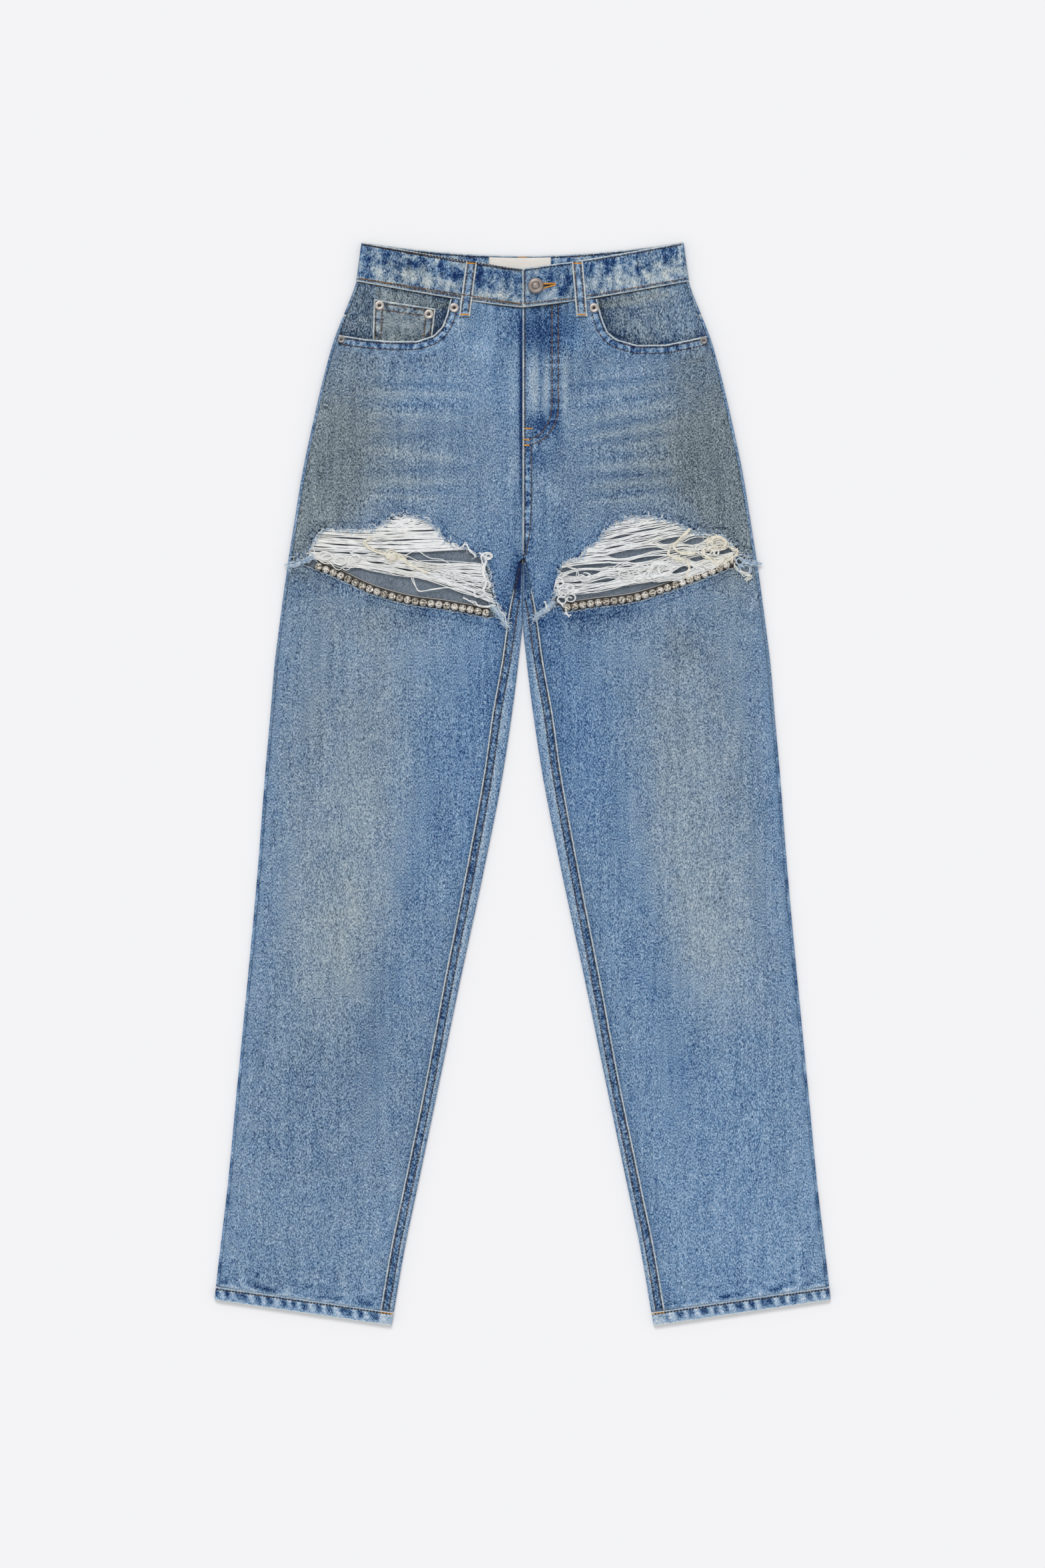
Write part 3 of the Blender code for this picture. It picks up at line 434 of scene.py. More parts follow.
def to_line(points, x, y):
    """Distance from a line of (x, y) points, and how far along it the nearest point lies."""
    best, run, start = np.full(np.shape(x), FAR), np.zeros(np.shape(x)), 0.0
    for (ax, ay), (bx, by) in zip(points, points[1:]):
        length = math.hypot(bx - ax, by - ay)
        t = np.clip(((x - ax) * (bx - ax) + (y - ay) * (by - ay)) / length**2, 0, 1)
        away = np.hypot(x - ax - t * (bx - ax), y - ay - t * (by - ay))
        run = np.where(away < best, start + t * length, run)
        best = np.minimum(best, away)
        start += length
    return best, run


def faded(rows, x, y):
    """Sums of the amounts and casts of washed areas."""
    amount, cast = np.zeros(np.shape(x)), np.zeros(np.shape(x))
    for row in rows:
        c, s = math.cos(math.radians(row.turn)), math.sin(math.radians(row.turn))
        u = ((x - row.x) * c + (y - row.y) * s) / row.half_x
        v = ((y - row.y) * c - (x - row.x) * s) / row.half_y
        soft = np.exp(-(np.hypot(u, v) ** 2.4))
        amount += row.amount * soft
        cast += row.cast * soft
    return amount, cast


def front_wash(side, x, y):
    amount, cast = faded(WASHES + OWN_WASHES[side], x, y)
    whiskers = creased(WHISKERS[side], x, y)
    amount, cast = amount + 0.035 * creased(CREASES, x, y) + 1.4 * whiskers, cast + 4 * whiskers
    below, _ = to_line(CHAIN[side], x, y)
    under = y < chain_line(side, np.clip(x, CHAIN[side][0][0], CHAIN[side][-1][0]))
    ragged = 9 + 5 * np.sin(x / 7.3) + 3 * np.sin(x / 2.9 + side)
    amount = amount - 0.13 * under * close_to(below, ragged)
    torn, _ = to_line(TORN_EDGE[side], x, y)
    # Painted shade under the fuzz: darker along the torn edge, above the crystals.
    amount = amount - 0.045 * ~under * close_to(torn, 7)
    return amount, np.clip(cast, -0.25, 1)


# Meshes.


def new_mesh(name, bm):
    mesh = bpy.data.meshes.new(name)
    bm.to_mesh(mesh)
    bm.free()
    return mesh


def points_of(mesh):
    """A mesh's vertices, one row each."""
    points = np.zeros(len(mesh.vertices) * 3, np.float32)
    mesh.vertices.foreach_get("co", points)
    return points.reshape(-1, 3)


def faces_of(mesh):
    """A mesh's faces in an order that every run repeats, each from its lowest corner."""
    faces = [tuple(p.vertices) for p in mesh.polygons]
    return sorted(f[f.index(min(f)):] + f[:f.index(min(f))] for f in faces)


def set_points(mesh, points):
    mesh.vertices.foreach_set("co", points.astype(np.float32).ravel())


def new_object(name, data):
    """An object that is linked to the scene."""
    obj = bpy.data.objects.new(name, data)
    bpy.context.scene.collection.objects.link(obj)
    return obj


def add_piece(name, mesh, finishes, slot, *stands_for):
    """Links a finished piece, which rides on the garment and stands for its solids."""
    obj = new_object(name, mesh)
    obj.data.materials.clear()
    for finish in finishes:
        obj.data.materials.append(finish)
    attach(obj, "root")
    if stands_for:
        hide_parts(*stands_for)
    return obj


def set_attribute(mesh, name, values, domain="POINT"):
    layer = mesh.attributes.new(name, "FLOAT", domain)
    layer.data.foreach_set("value", np.asarray(values, np.float32).ravel())


def lattice(name, columns, rows, side=1, drop=None):
    """A grid mesh with one vertex for each column and row, and the vertices' (column, row).

    drop tells from a face's lowest column and row whether the grid has a hole there.
    """
    bm = bmesh.new()
    bmesh.ops.create_grid(bm, x_segments=columns - 1, y_segments=rows - 1, size=0.5)
    if drop:
        gone = []
        for face in bm.faces:
            low = [min(v.co[axis] for v in face.verts) + 0.5 for axis in (0, 1)]
            if drop(round(low[0] * (columns - 1)), round(low[1] * (rows - 1))):
                gone.append(face)
        bmesh.ops.delete(bm, geom=gone, context="FACES")
    if side < 0:
        bmesh.ops.reverse_faces(bm, faces=bm.faces)
    mesh = new_mesh(name, bm)
    flat = points_of(mesh)
    i = np.rint((flat[:, 0] + 0.5) * (columns - 1)).astype(int)
    j = np.rint((flat[:, 1] + 0.5) * (rows - 1)).astype(int)
    return mesh, i, j


def shares_of(i, j):
    """How far across and up a lattice its vertices are, from 0 to 1."""
    return i / i.max(), j / j.max()


def lay_cloth(mesh, place, marks, finishes, thickness, slot, *stands_for):
    """Puts a lattice at its place, marks it for its material and gives it its wall."""
    set_points(mesh, place)
    for mark in ("edge", "run", "pucker", "wash", "cast", "blotch"):
        value = marks.get(mark, FAR if mark == "edge" else 0.0)
        set_attribute(mesh, mark, np.broadcast_to(value, len(mesh.vertices)))
    mesh.shade_smooth()
    obj = add_piece(mesh.name, mesh, finishes, slot, *stands_for)
    wall = obj.modifiers.new("wall", "SOLIDIFY")
    wall.thickness = thickness * MM
    wall.offset = 0
    wall.use_quality_normals = True
    if len(finishes) > 1:
        wall.material_offset = 1
    return obj


def measured(place, columns, rows):
    """Flat (width, length) and area in metres of a cloth whose points form a grid."""
    points = place.reshape(rows, columns, 3)
    across = np.linalg.norm(np.diff(points, axis=1), axis=2)
    up = np.linalg.norm(np.diff(points, axis=0), axis=2)
    cells = np.cross(points[:-1, 1:] - points[:-1, :-1], points[1:, :-1] - points[:-1, :-1])
    area = float(np.linalg.norm(cells, axis=2).sum())
    width, length = float(across.sum(axis=1).max()), float(up.sum(axis=0).max())
    return (width, max(length, area / width)), area


def measured_cut(place, i, j):
    """The same for a piece whose places are in its lattice's own order."""
    return measured(place[np.lexsort((i, j))], i.max() + 1, j.max() + 1)


def spaced(count, *curves):
    """Shares from 0 to 1, closer together where the curves across a panel are steep."""
    u = np.linspace(0, 1, 600)
    density = np.ones(599)
    for curve in curves:
        density += 0.012 * np.abs(np.diff(curve(u))) * 599 / 3
    total = np.concatenate([[0], np.cumsum(density)])
    return np.interp(np.linspace(0, total[-1], count), total, u)


# Cloth.


def nearest(*seams):
    """Joins seams given as (distance, run, pucker): the nearest gives the run."""
    away, run, pucker = (np.array(values, float) for values in seams[0])
    for other_away, other_run, other_pucker in seams[1:]:
        closer = other_pucker > pucker
        run = np.where(closer, other_run, run)
        pucker = np.maximum(pucker, other_pucker)
        away = np.minimum(away, other_away)
    return away, run, pucker


def band(value, low, high, soft=1.5):
    """1 between low and high, and soft outside."""
    return ramp(value, low - soft, low) * (1 - ramp(value, high, high + soft))


def outseam_dapples(x, y):
    """Dark patches where the seam allowance lies under the outer edge of the leg."""
    return y / 17, 0.9 * close_to(outer(y) - x, 4) * (1 - ramp(y, 560, 640))


def back_wash(x, y):
    legs = tuple(row for row in WASHES if row.y < 700)
    seat = (Wash(108, 885, 62, 70, 0, 0.05, 0.35), Wash(30, 850, 26, 70, 0, -0.04, -0.1))
    amount, cast = faded(legs + seat, x, y)
    return amount - 0.02 + 0.03 * creased(BACK_CREASES, x, y), cast


def lay_back(side, name):
    """Full-length back, turned over both edges of the leg on to the front face."""
    bend, bends = FOLD_BEND, len(FOLD_ANGLES)
    flap, across, rows = 11, 44, 210
    first = flap + bends  # the first column between the two folds

    def inner_edge(y):
        return inner(y) + mix(bend, 0, ramp(y, 776, 782))

    def outer_edge(y):
        return outer(y) - bend

    def end_row(u):
        low = hem_line(mix(inner_edge(20), outer_edge(20), u)) + HEM_HEIGHT + SEAM
        return low, yoke_seam(mix(0, YOKE_HALF, u)) - SEAM / 2

    columns = first + across + bends + 1
    v = np.linspace(0, 1, rows)
    x, y, z = (np.zeros((rows, columns)) for _ in range(3))
    edge = np.full((rows, columns), FAR)
    y_in, y_out = (mix(*end_row(u), v) for u in (0, 1))
    reach = np.maximum(turn(y_in) - GAP, 2.4)
    over_front = 1 - ramp(y_in, 684, 708)
    climb = np.maximum(1.9, mix(1.9, reach - INSEAM_LAP - 1.2, over_front))
    for k in range(flap):
        inward = mix(reach, climb, k / (flap - 1))
        x[:, k] = inner(y_in) + inward
        y[:, k] = y_in + (inward - bend) * row_slope(y_in)
        z[:, k] = cloth_height(x[:, k], y_in) + STEP * over_front
        edge[:, k] = reach - inward
    for k, a in enumerate(FOLD_ANGLES):
        inward = bend - FOLD_RADIUS * math.cos(a)
        height = CLOTH / 2 + FOLD_RADIUS * (1 + math.sin(a))
        k_in, k_out = first - 1 - k, first + across + k
        x[:, k_in] = inner(y_in) + inward
        y[:, k_in] = y_in + (inward - bend) * row_slope(y_in)
        z[:, k_in] = height + seat_lift(y_in)
        x[:, k_out] = outer(y_out) - inward
        y[:, k_out] = y_out + (bend - inward) * row_slope(y_out)
        z[:, k_out] = height + seat_lift(y_out)
    for k, u in enumerate(np.linspace(0, 1, across)):
        y_u = mix(*end_row(u), v)
        x_u = mix(inner_edge(y_u), outer_edge(y_u), u)
        x[:, first + k], y[:, first + k] = x_u, y_u
        z[:, first + k] = CLOTH / 2 + seat_lift(y_u)
    x[:, -1] = outer(y_out) - OUTSEAM_TURN
    y[:, -1] = y_out - (OUTSEAM_TURN - bend) * row_slope(y_out)
    z[:, -1] = seat_lift(y_out) + BASE

    def open_above(i, j):
        return i < first and y_in[j] > CROTCH_SPLIT

    mesh, i, j = lattice(f"denim_back_{name}", columns, rows, -side, drop=open_above)
    px, py, pz, away = x[j, i], y[j, i], z[j, i], edge[j, i]
    amount, cast = back_wash(px, py)
    # Painted shadow between the legs: darker round the crotch point, and over the top of the flap through
    # crotch_shadow, more on the right leg.
    amount = amount - 0.22 * close_to(np.hypot(px, py - 779), 12)
    on_flap = i < flap
    flap_tone = 0.01 + 0.11 * band(away, 9.6, 11.6, 1.2) * (1 - 1.6 * ramp(py, 660, 710))
    flap_tone = flap_tone - 0.11 * band(away, 3, 8) - 0.02 * ramp(away, 12, 14)
    crotch_shadow = (0.46 if side == RIGHT else 0.14) * ramp(py, 736, 758)
    amount = np.where(on_flap, flap_tone - crotch_shadow, amount)
    felled = 0.5 * band(away, 2.8, 7.6, 1.8) * on_flap
    _, run, pucker = nearest((away, (py + 0.7 * away) / 3.4, felled), (away, *outseam_dapples(px, py)))
    marks = dict(edge=away + (0.15 + 3 * ramp(py, 748, 758)) * on_flap, run=run, pucker=pucker, wash=amount,
                 cast=np.where(on_flap, 0.05, cast))
    obj = lay_cloth(mesh, spot(side, px, py, pz), marks, (denim(), denim_inside()), CLOTH, "denim",
                    f"back_{name}")
    full = np.stack([x, y, z], axis=-1) * MM
    flat, area = measured(full, columns, rows)


def lay_yoke(side, name):
    """Back yoke, whose outer edge turns up like the back's."""
    columns, rows, bends = 40, 22, len(FOLD_ANGLES) + 1
    u, v = np.meshgrid(np.linspace(0, 1, columns - bends), np.linspace(0, 1, rows))
    y = mix(yoke_seam(mix(0, YOKE_HALF, u)), back_waist_seam(mix(0, WAIST_HALF, u)) - SEAM, v)
    x = mix(inner(y), outer(y) - FOLD_BEND, u)
    z = CLOTH / 2 + seat_lift(y)
    y_out = y[:, -1:]
    inward = np.append(FOLD_BEND - FOLD_RADIUS * np.cos(FOLD_ANGLES), OUTSEAM_TURN)[None, :]
    rise = np.append(CLOTH / 2 + FOLD_RADIUS * (1 + np.sin(FOLD_ANGLES)), BASE)[None, :]
    x = np.hstack([x, outer(y_out) - inward])
    z = np.hstack([z, rise + seat_lift(y_out)])
    y = np.hstack([y, np.repeat(y_out, bends, axis=1)])
    mesh, i, j = lattice(f"denim_yoke_{name}", columns, rows, -side)
    px, py = x[j, i], y[j, i]
    away = py - yoke_seam(px)
    marks = dict(edge=away, run=px / 6, pucker=0.7 * band(away, 2, 9), cast=0.25)
    obj = lay_cloth(mesh, spot(side, px, py, z[j, i]), marks, (denim(), denim_inside()), CLOTH, "denim",
                    f"yoke_{name}")
    flat, area = measured(np.stack([x, y, z], -1) * MM, columns, rows)


POCKET_MIDDLE, POCKET_HALF_TOP, POCKET_HALF_FOOT = 95, 69, 61
POCKET_TOP, POCKET_CORNER, POCKET_POINT = 952, 838, 815


def back_pocket_point(u, v):
    across = mix(-1, 1, u)
    y = mix(mix(POCKET_POINT, POCKET_CORNER, np.abs(across)), POCKET_TOP + 6 * across, v)
    half = mix(POCKET_HALF_FOOT, POCKET_HALF_TOP, ramp(y, POCKET_CORNER, POCKET_TOP))
    return POCKET_MIDDLE + across * half, y


def lay_back_pocket(side, name):
    mesh, i, j = lattice(f"denim_back_pocket_{name}", 41, 41, -side)
    u, v = shares_of(i, j)
    x, y = back_pocket_point(u, v)
    length = POCKET_TOP - POCKET_POINT
    sides, ends = np.minimum(u, 1 - u) * 2 * POCKET_HALF_FOOT, np.minimum(v, 1 - v) * length
    away = np.minimum(sides, ends)
    run = np.where(sides < ends, y, x) / 6
    marks = dict(edge=away, run=run, pucker=0.8 * band(away, 2, 9), cast=0.3,
                 wash=0.02 + 0.04 * ramp(away, 14, 40))
    obj = lay_cloth(mesh, spot(side, x, y, CLOTH / 2), marks, (denim(),), CLOTH, "denim",
                    f"back_pocket_{name}")


def share_across(points, inner_edge, outer_edge):
    x, y = np.array(points, float).T
    return (x - inner_edge(y)) / (outer_edge(y) - inner_edge(y)), y


FLY_ROWS = (30.0, 36.4)  # the two rows of the J at the waist
FLY_TURN = 940  # below this the rows curve to the middle
FLY_FEET = (902.5, 897.0)


def fly_row(k):
    """One row of the J, from the waist down and round to the centre seam."""
    x, foot = FLY_ROWS[k], FLY_FEET[k]
    turn_at = FLY_TURN - 4 * k
    angles = np.radians(np.linspace(0, 90, 22))
    xs = np.concatenate([[x, x], 3 + (x - 3) * np.cos(angles)[1:]])
    ys = np.concatenate([[front_waist_seam(x) - 1, turn_at],
                         turn_at - (turn_at - foot) * np.sin(angles)[1:]])
    return list(zip(xs, ys))


def upper_front_edges(side):
    lap = CENTRE_LAP if side == RIGHT else 0.0

    def inner_edge(y):
        return mix(inner(y) + turn(y), -lap, ramp(y, 777, 790))

    return inner_edge, front_edge


def lay_upper_front(side, name):
    """Front from the waist seam and pocket mouth down to the torn edge."""
    inner_edge, outer_edge = upper_front_edges(side)
    lap = CENTRE_LAP if side == RIGHT else 0.0
    torn = share_across(TORN_EDGE[side], inner_edge, outer_edge)
    mouth = share_across(POCKET_MOUTH[side], inner_edge, outer_edge)
    seam = share_across([(x, front_waist_seam(x) - SEAM) for x in (-lap, 0, 24, 48, 68)],
                        inner_edge, outer_edge)
    top_at, top_y = np.append(seam[0], mouth[0]), np.append(seam[1], mouth[1])

    def bottom(u):
        ragged = np.sin(u * 150 + side) + 0.8 * np.sin(u * 331) + 0.7 * np.sin(u * 587 + side)
        return np.interp(u, *torn) + 0.7 * ragged

    def top(u):
        return np.interp(u, top_at, top_y)

    columns, rows = 132, 104
    shares = spaced(columns, bottom, top)
    mesh, i, j = lattice(f"denim_front_upper_{name}", columns, rows, side)
    u, v = shares[i], j / (rows - 1)
    y = mix(bottom(u), top(u), v)
    x = mix(inner_edge(y), outer_edge(y), u)
    amount, cast = front_wash(side, x, y)
    mouth_away, mouth_run = to_line(POCKET_MOUTH[side], x, y)
    torn_away, torn_run = to_line(TORN_EDGE[side], x, y)
    far = np.full(len(x), FAR)
    seams = [(mouth_away, mouth_run / 5, band(mouth_away, 2.2, 8.5) * 0.95
              + 0.35 * band(mouth_away, 10, 13, 8)),
             (far, x / 6, 0.5 * close_to(top(u) - y, 9) * (x < 70)),
             (torn_away + 0.9, torn_run / 4, 0.5 * close_to(torn_away, 6)),
             (far, *outseam_dapples(x, y))]
    if side == LEFT:
        centre = np.abs(x)
        felled = 0.85 * band(centre, 2, 8) * (1 - ramp(y, 896, 904))
        plain = np.minimum(centre, np.where(y > 900, 6, FAR))
        seams.append((np.where(y > 784, np.where(plain < 3, plain * 0.85, plain), FAR), y / 4.2, felled))
        for k in (0, 1):
            row_away, row_run = to_line(fly_row(k), x, y)
            seams.append((far, row_run / 5, 0.65 * close_to(row_away, 4)))
            # Painted shade in the groove that each row of the J pulls into the cloth.
            amount = amount - 0.08 * close_to(row_away, 1.7)
    away, run, pucker = nearest(*seams)
    under_crotch = turn(y) * (y < 790)
    amount = amount - 0.03 * close_to(x - under_crotch, 10) * (y < 790)
    marks = dict(edge=away, run=run, pucker=pucker, wash=amount, cast=cast)
    place = spot(side, x, y, front_height(side, x, y))
    obj = lay_cloth(mesh, place, marks, (denim(), denim_inside()), CLOTH, "denim", f"front_upper_{name}")
    flat, area = measured_cut(place, i, j)


# The lower front's edge beside the inseam, under the frayed strip.
UNDER_FRAY = {
    RIGHT: ((20, 717.5), (27, 724), (31, 722)),
    LEFT: ((16, 721.5), (26, 728.5), (34, 733.5), (41, 733.5)),
}


def lay_lower_front(side, name):
    """Front from the crystals down to the hem."""
    below = CRYSTAL / 2 + GAP + 0.2

    def inner_edge(y):
        return inner(y) + turn(y) - mix(INSEAM_LAP, 0, ramp(y, 650, 678))

    first, last = CHAIN[side][0][0], CHAIN[side][-1][0]
    line = [(x, chain_line(side, x) - below) for x in np.linspace(first, last - 12, 12)]
    top_at, top_y = share_across([*UNDER_FRAY[side], *line, (223, 775.5), (240, 774)],
                                 inner_edge, front_edge)

    def top(u):
        return np.interp(u, top_at, top_y) + 0.35 * np.sin(u * 400 + side) + 0.3 * np.sin(u * 173)

    def bottom(u):
        return hem_line(mix(inner_edge(20), front_edge(20), u)) + HEM_HEIGHT + 0.3

    columns, rows = 96, 290
    mesh, i, j = lattice(f"denim_front_lower_{name}", columns, rows, side)
    u, v = spaced(columns, top)[i], j / (rows - 1)
    y = mix(bottom(u), top(u), v)
    x = mix(inner_edge(y), front_edge(y), u)
    amount, cast = front_wash(side, x, y)
    over_hem = y - bottom(u)
    past_inseam = x - inner(y) - turn(y)
    amount = amount - 0.055 * close_to(past_inseam, 3) - 0.03 * close_to(past_inseam, 16)
    pulls = 0.35 * band(over_hem, 2, 5, 3) + 0.3 * close_to(over_hem - 6, 22)
    far = np.full(len(x), FAR)
    _, run, pucker = nearest((far, (x + 0.9 * over_hem) / 12, pulls), (far, *outseam_dapples(x, y)))
    dashes = ramp(np.sin(x / 7.7 + 1.8 * np.sin(x / 23 + side)), 0.1, 0.6)
    amount = amount + 0.19 * (1 - ramp(over_hem, 1.4, 3.2)) - 0.16 * dashes * band(over_hem, 3.6, 6, 2)
    marks = dict(edge=top(u) - y + 0.8, run=run, pucker=pucker, wash=amount, cast=cast)
    place = spot(side, x, y, front_height(side, x, y))
    obj = lay_cloth(mesh, place, marks, (denim(), denim_inside()), CLOTH, "denim", f"front_lower_{name}")
    flat, area = measured_cut(place, i, j)


def lay_hem(side, name):
    """Turned-up hem all round the foot of a leg, pulled into slanting puckers."""
    radius = ROUND_RADIUS
    bend = DOUBLE / 2 + radius
    low, high = DOUBLE / 2, DOUBLE * 1.5 + GAP
    across = np.linspace(0, 1, 90)
    ring = [(u, 0.0, low) for u in across]
    ring += [(1.0, radius * math.cos(a), low + radius * (1 + math.sin(a))) for a in ROUND_ANGLES]
    ring += [(u, 0.0, high) for u in reversed(across)]
    ring += [(0.0, -radius * math.cos(a), high - radius * (1 + math.sin(a))) for a in ROUND_ANGLES]
    ring = np.array(ring + ring[:1])
    rows = 9
    mesh, i, j = lattice(f"denim_hem_{name}", len(ring), rows, -side)
    u, beyond, z = ring[i].T
    v = j / (rows - 1)
    up = HEM_HEIGHT * v
    x = mix(inner(20) + bend, outer(20) - bend, u) + beyond
    y = hem_line(x) + up
    x = x + mix(inner(y) - inner(20), outer(y) - outer(20), u)
    below_top = HEM_HEIGHT * (1 - v)
    run = (x - 0.3 * below_top) / 5 + 40 * (z < radius + low)
    swell = 1.3 * np.sin(x / 17 + side) + 0.8 * np.sin(x / 5.3)
    roping = np.sin(2 * math.pi * (x - side * 0.26 * below_top) / 13.2 + swell)
    wave = roping * np.sin(math.pi * v)
    upper = z > low + radius
    z = z + 0.35 * wave * upper
    inseam = 1 - ramp(x - inner(y), 12, 15)
    # wash darkens the band from 11.2 to 12 mm up, along the stitch row: painted shade in the row's groove.
    marks = dict(edge=up + 0.4 + 3 * (v > 0.9), run=run, cast=0.12 * inseam,
                 pucker=0.35 * band(up, 2, 9.5, 2.5) * (1 - 0.8 * inseam),
                 wash=0.12 * inseam + 0.10 + 0.16 * band(up, 13.2, 14, 1.0)
                 - 0.10 * band(up, 11.2, 12, 0.8) + 0.15 * band(up, -2, 2.2, 1.6)
                 + (0.21 * np.clip(1.5 * roping - 0.4, -1, 1) - 0.05)
                 * band(up, 4.4, 10.6, 1.6) * (1 - 0.8 * inseam))
    place = spot(side, x, y, z)
    obj = lay_cloth(mesh, place, marks, (denim(), denim_inside()), DOUBLE, "denim", f"hem_{name}")


def band_stations():
    """Points of the waistband's top edge as (x, y, z), from its button end round the back."""
    radius = ROUND_RADIUS
    bend = HALF_WAIST - DOUBLE / 2 - radius
    back = SEAT_LIFT + DOUBLE / 2
    xs = np.concatenate([np.linspace(0, 60, 31), np.linspace(62.5, bend, 40)])

    def front(side, x):
        return np.stack([side * x, front_top(x), band_height(side, x)], axis=-1)

    def round_side(side, angles):
        x = bend + radius * np.cos(angles)
        top = np.full(len(angles), front_top(bend))
        return np.stack([side * x, top, back + radius * (1 + np.sin(angles))], axis=-1)

    under = np.linspace(BUTTON_END, 1, 16)
    tongue = np.stack([under, front_top(under), band_height(RIGHT, under)], axis=-1)
    behind = np.linspace(-bend, bend, 120)
    rear = np.stack([behind, back_top(behind), np.full(120, back)], axis=-1)
    return np.concatenate([tongue, front(RIGHT, xs), round_side(RIGHT, ROUND_ANGLES[::-1]),
                           rear, round_side(LEFT, ROUND_ANGLES), front(LEFT, xs[::-1])])


def lay_waistband():
    """One strip from its button end, round the back, to its buttonhole end."""
    stations = band_stations()
    rows = 13
    mesh, i, j = lattice("denim_waistband", len(stations), rows)
    x, top, z = stations[i].T
    v = 1 - j / (rows - 1)
    y = top - BAND_HEIGHT * v
    x = x + np.sign(x) * lean(x) * v
    down = BAND_HEIGHT * v
    away = np.minimum(down, BAND_HEIGHT - down)
    end = (z > SEAT_LIFT + BAND_FRONT + DOUBLE) * (x >= 0)
    away = np.where(end > 0, np.minimum(away, np.abs(x)), away)
    front = z > SEAT_LIFT + BAND_FRONT - 0.4
    blotches = mix(1.0, 0.45, ramp(down, 16, 30)) * band(away, 2.5, 40, 1.5)
    near_fly = close_to(x, 46)
    amount = 0.005 + 0.05 * band(down, 20, 37, 6) - 0.035 * band(down, 6, 15, 4)
    amount = amount - 0.05 * near_fly * (x < 0) - 0.02 * near_fly * (x > 0)
    cast = 0.25 * band(down, 18, 36, 5) + 0.15
    side_of = np.where(x < 0, RIGHT, LEFT)
    for side, _ in SIDES:
        patches, tint = faded(BAND_PATCHES[side], np.abs(x), down)
        amount = amount + 1.35 * patches * (side_of == side)
        cast = cast + tint * (side_of == side)
    marks = dict(edge=np.minimum(away + 0.3, 6), run=x / 6 + 30 * ~front, pucker=blotches * 0.5,
                 cast=cast, wash=np.where(front, amount, -0.03), blotch=2.8 * band(away, 3, 40, 1.5))
    ripple = 0.18 * np.sin(x / 3.1 + 0.4 * np.sin(x / 9)) * np.sin(math.pi * v) * front
    place = spot(1, x, y, z + ripple)
    obj = lay_cloth(mesh, place, marks, (denim(),), DOUBLE, "denim", "waistband")
    flat, area = measured_cut(place, i, j)


def lay_facing(side, name):
    """Denim facing inside a front pocket's mouth."""
    mesh, i, j = lattice(f"denim_facing_{name}", 46, 34, side)
    u, v = shares_of(i, j)
    y = mix(FACING_BOTTOM, front_waist_seam(mix(FACING_INNER, WAIST_HALF, u)) - SEAM, v)
    x = mix(FACING_INNER, outer(y) - OUTSEAM_TURN - SEAM, u)
    away, _ = to_line(POCKET_MOUTH[side], x, y)
    shade = {RIGHT: (-0.11, 0.66), LEFT: (-0.077, 0.55)}[side]
    # Painted shade under the front's pocket mouth: on the left the facing darkens towards the mouth, and both
    # facings darken close to the mouth's line.
    shade_towards_mouth = 0.0014 * np.clip(x - 110, -32, 34) * (side == LEFT)
    amount = shade[0] + shade_towards_mouth - 0.10 * close_to(away, 6) - 0.05 * close_to(away, 14)
    under_band = front_waist_seam(x) - y
    strip = close_to(under_band - 8, 5) * (x < 150)
    # Painted shadow under the waistband's foot, and in the crook of the left mouth's inner curve.
    mouth_crook_shade = np.exp(-(((x - 86) / 11) ** 2) - ((y - 1003) / 14) ** 2) * (side == LEFT)
    amount = amount + 0.06 * strip - 0.07 * (close_to(under_band, 2.5) + mouth_crook_shade)
    bluer = 0.4 * ramp(x, 120, 170) if side == LEFT else 0.3 * close_to(away, 16)
    marks = dict(wash=amount, cast=shade[1] + 0.5 * strip - 0.4 * bluer, run=x / 9, blotch=0.8,
                 pucker=0.35 * close_to(under_band, 9))
    place = spot(side, x, y, cloth_height(x, y))
    obj = lay_cloth(mesh, place, marks, (denim(),), CLOTH, "denim", f"pocket_facing_{name}")
    flat, area = measured_cut(place, i, j)


def coin_point(u, v):
    x = mix(mix(COIN_INNER + 3, 88.5, v), mix(COIN_OUTER - 1, 151.5, v), u)
    return x, mix(COIN_BOTTOM, mix(1036, 1046, u), v)


def lay_coin_pocket():
    """Coin pocket on the right facing, its foot behind the pocket's edge."""
    mesh, i, j = lattice("denim_coin_pocket", 40, 34, RIGHT)
    u, v = shares_of(i, j)
    x, y = coin_point(u, v)
    sides = np.minimum(u, 1 - u) * COIN_WIDTH
    down = (1 - v) * COIN_HEIGHT
    away = np.minimum(sides, down)
    hems = np.maximum(band(sides, 2, 9.5), band(down, 2, 10))
    # wash darkens a band 35 mm below the top, where the front's pocket mouth lies over the coin pocket:
    # painted shade.
    marks = dict(edge=away, run=np.where(sides < down, y, x) / 5, pucker=0.8 * hems,
                 wash=0.01 * hems - 0.11 * close_to(down - 35, 9), cast=1.0, blotch=1.2)
    obj = lay_cloth(mesh, spot(RIGHT, x, y, cloth_height(x, y) + STEP), marks, (denim(),), CLOTH, "denim",
                    "coin_pocket")


def lay_label():
    """Woven label inside the back waistband, left blank."""
    mesh, i, j = lattice("woven_label", 40, 16)
    u, up = shares_of(i, j)
    x, v = mix(LABEL_RIGHT, LABEL_LEFT, u), 1 - up
    height = SEAT_LIFT + DOUBLE + GAP + 0.3
    y = back_top(x) - 2 - LABEL_HEIGHT * v
    dent = 0.25 * np.sin(x / 5.5) * close_to(x + 6, 15) * v
    obj = lay_cloth(mesh, spot(1, x, y, height + dent), {}, (label_cloth(),), 0.6, "label_cloth", "label")


LOOP_TOP = {RIGHT: 51.8, LEFT: 55.8}
LOOP_FOOT = {RIGHT: 59.2, LEFT: 60.6}


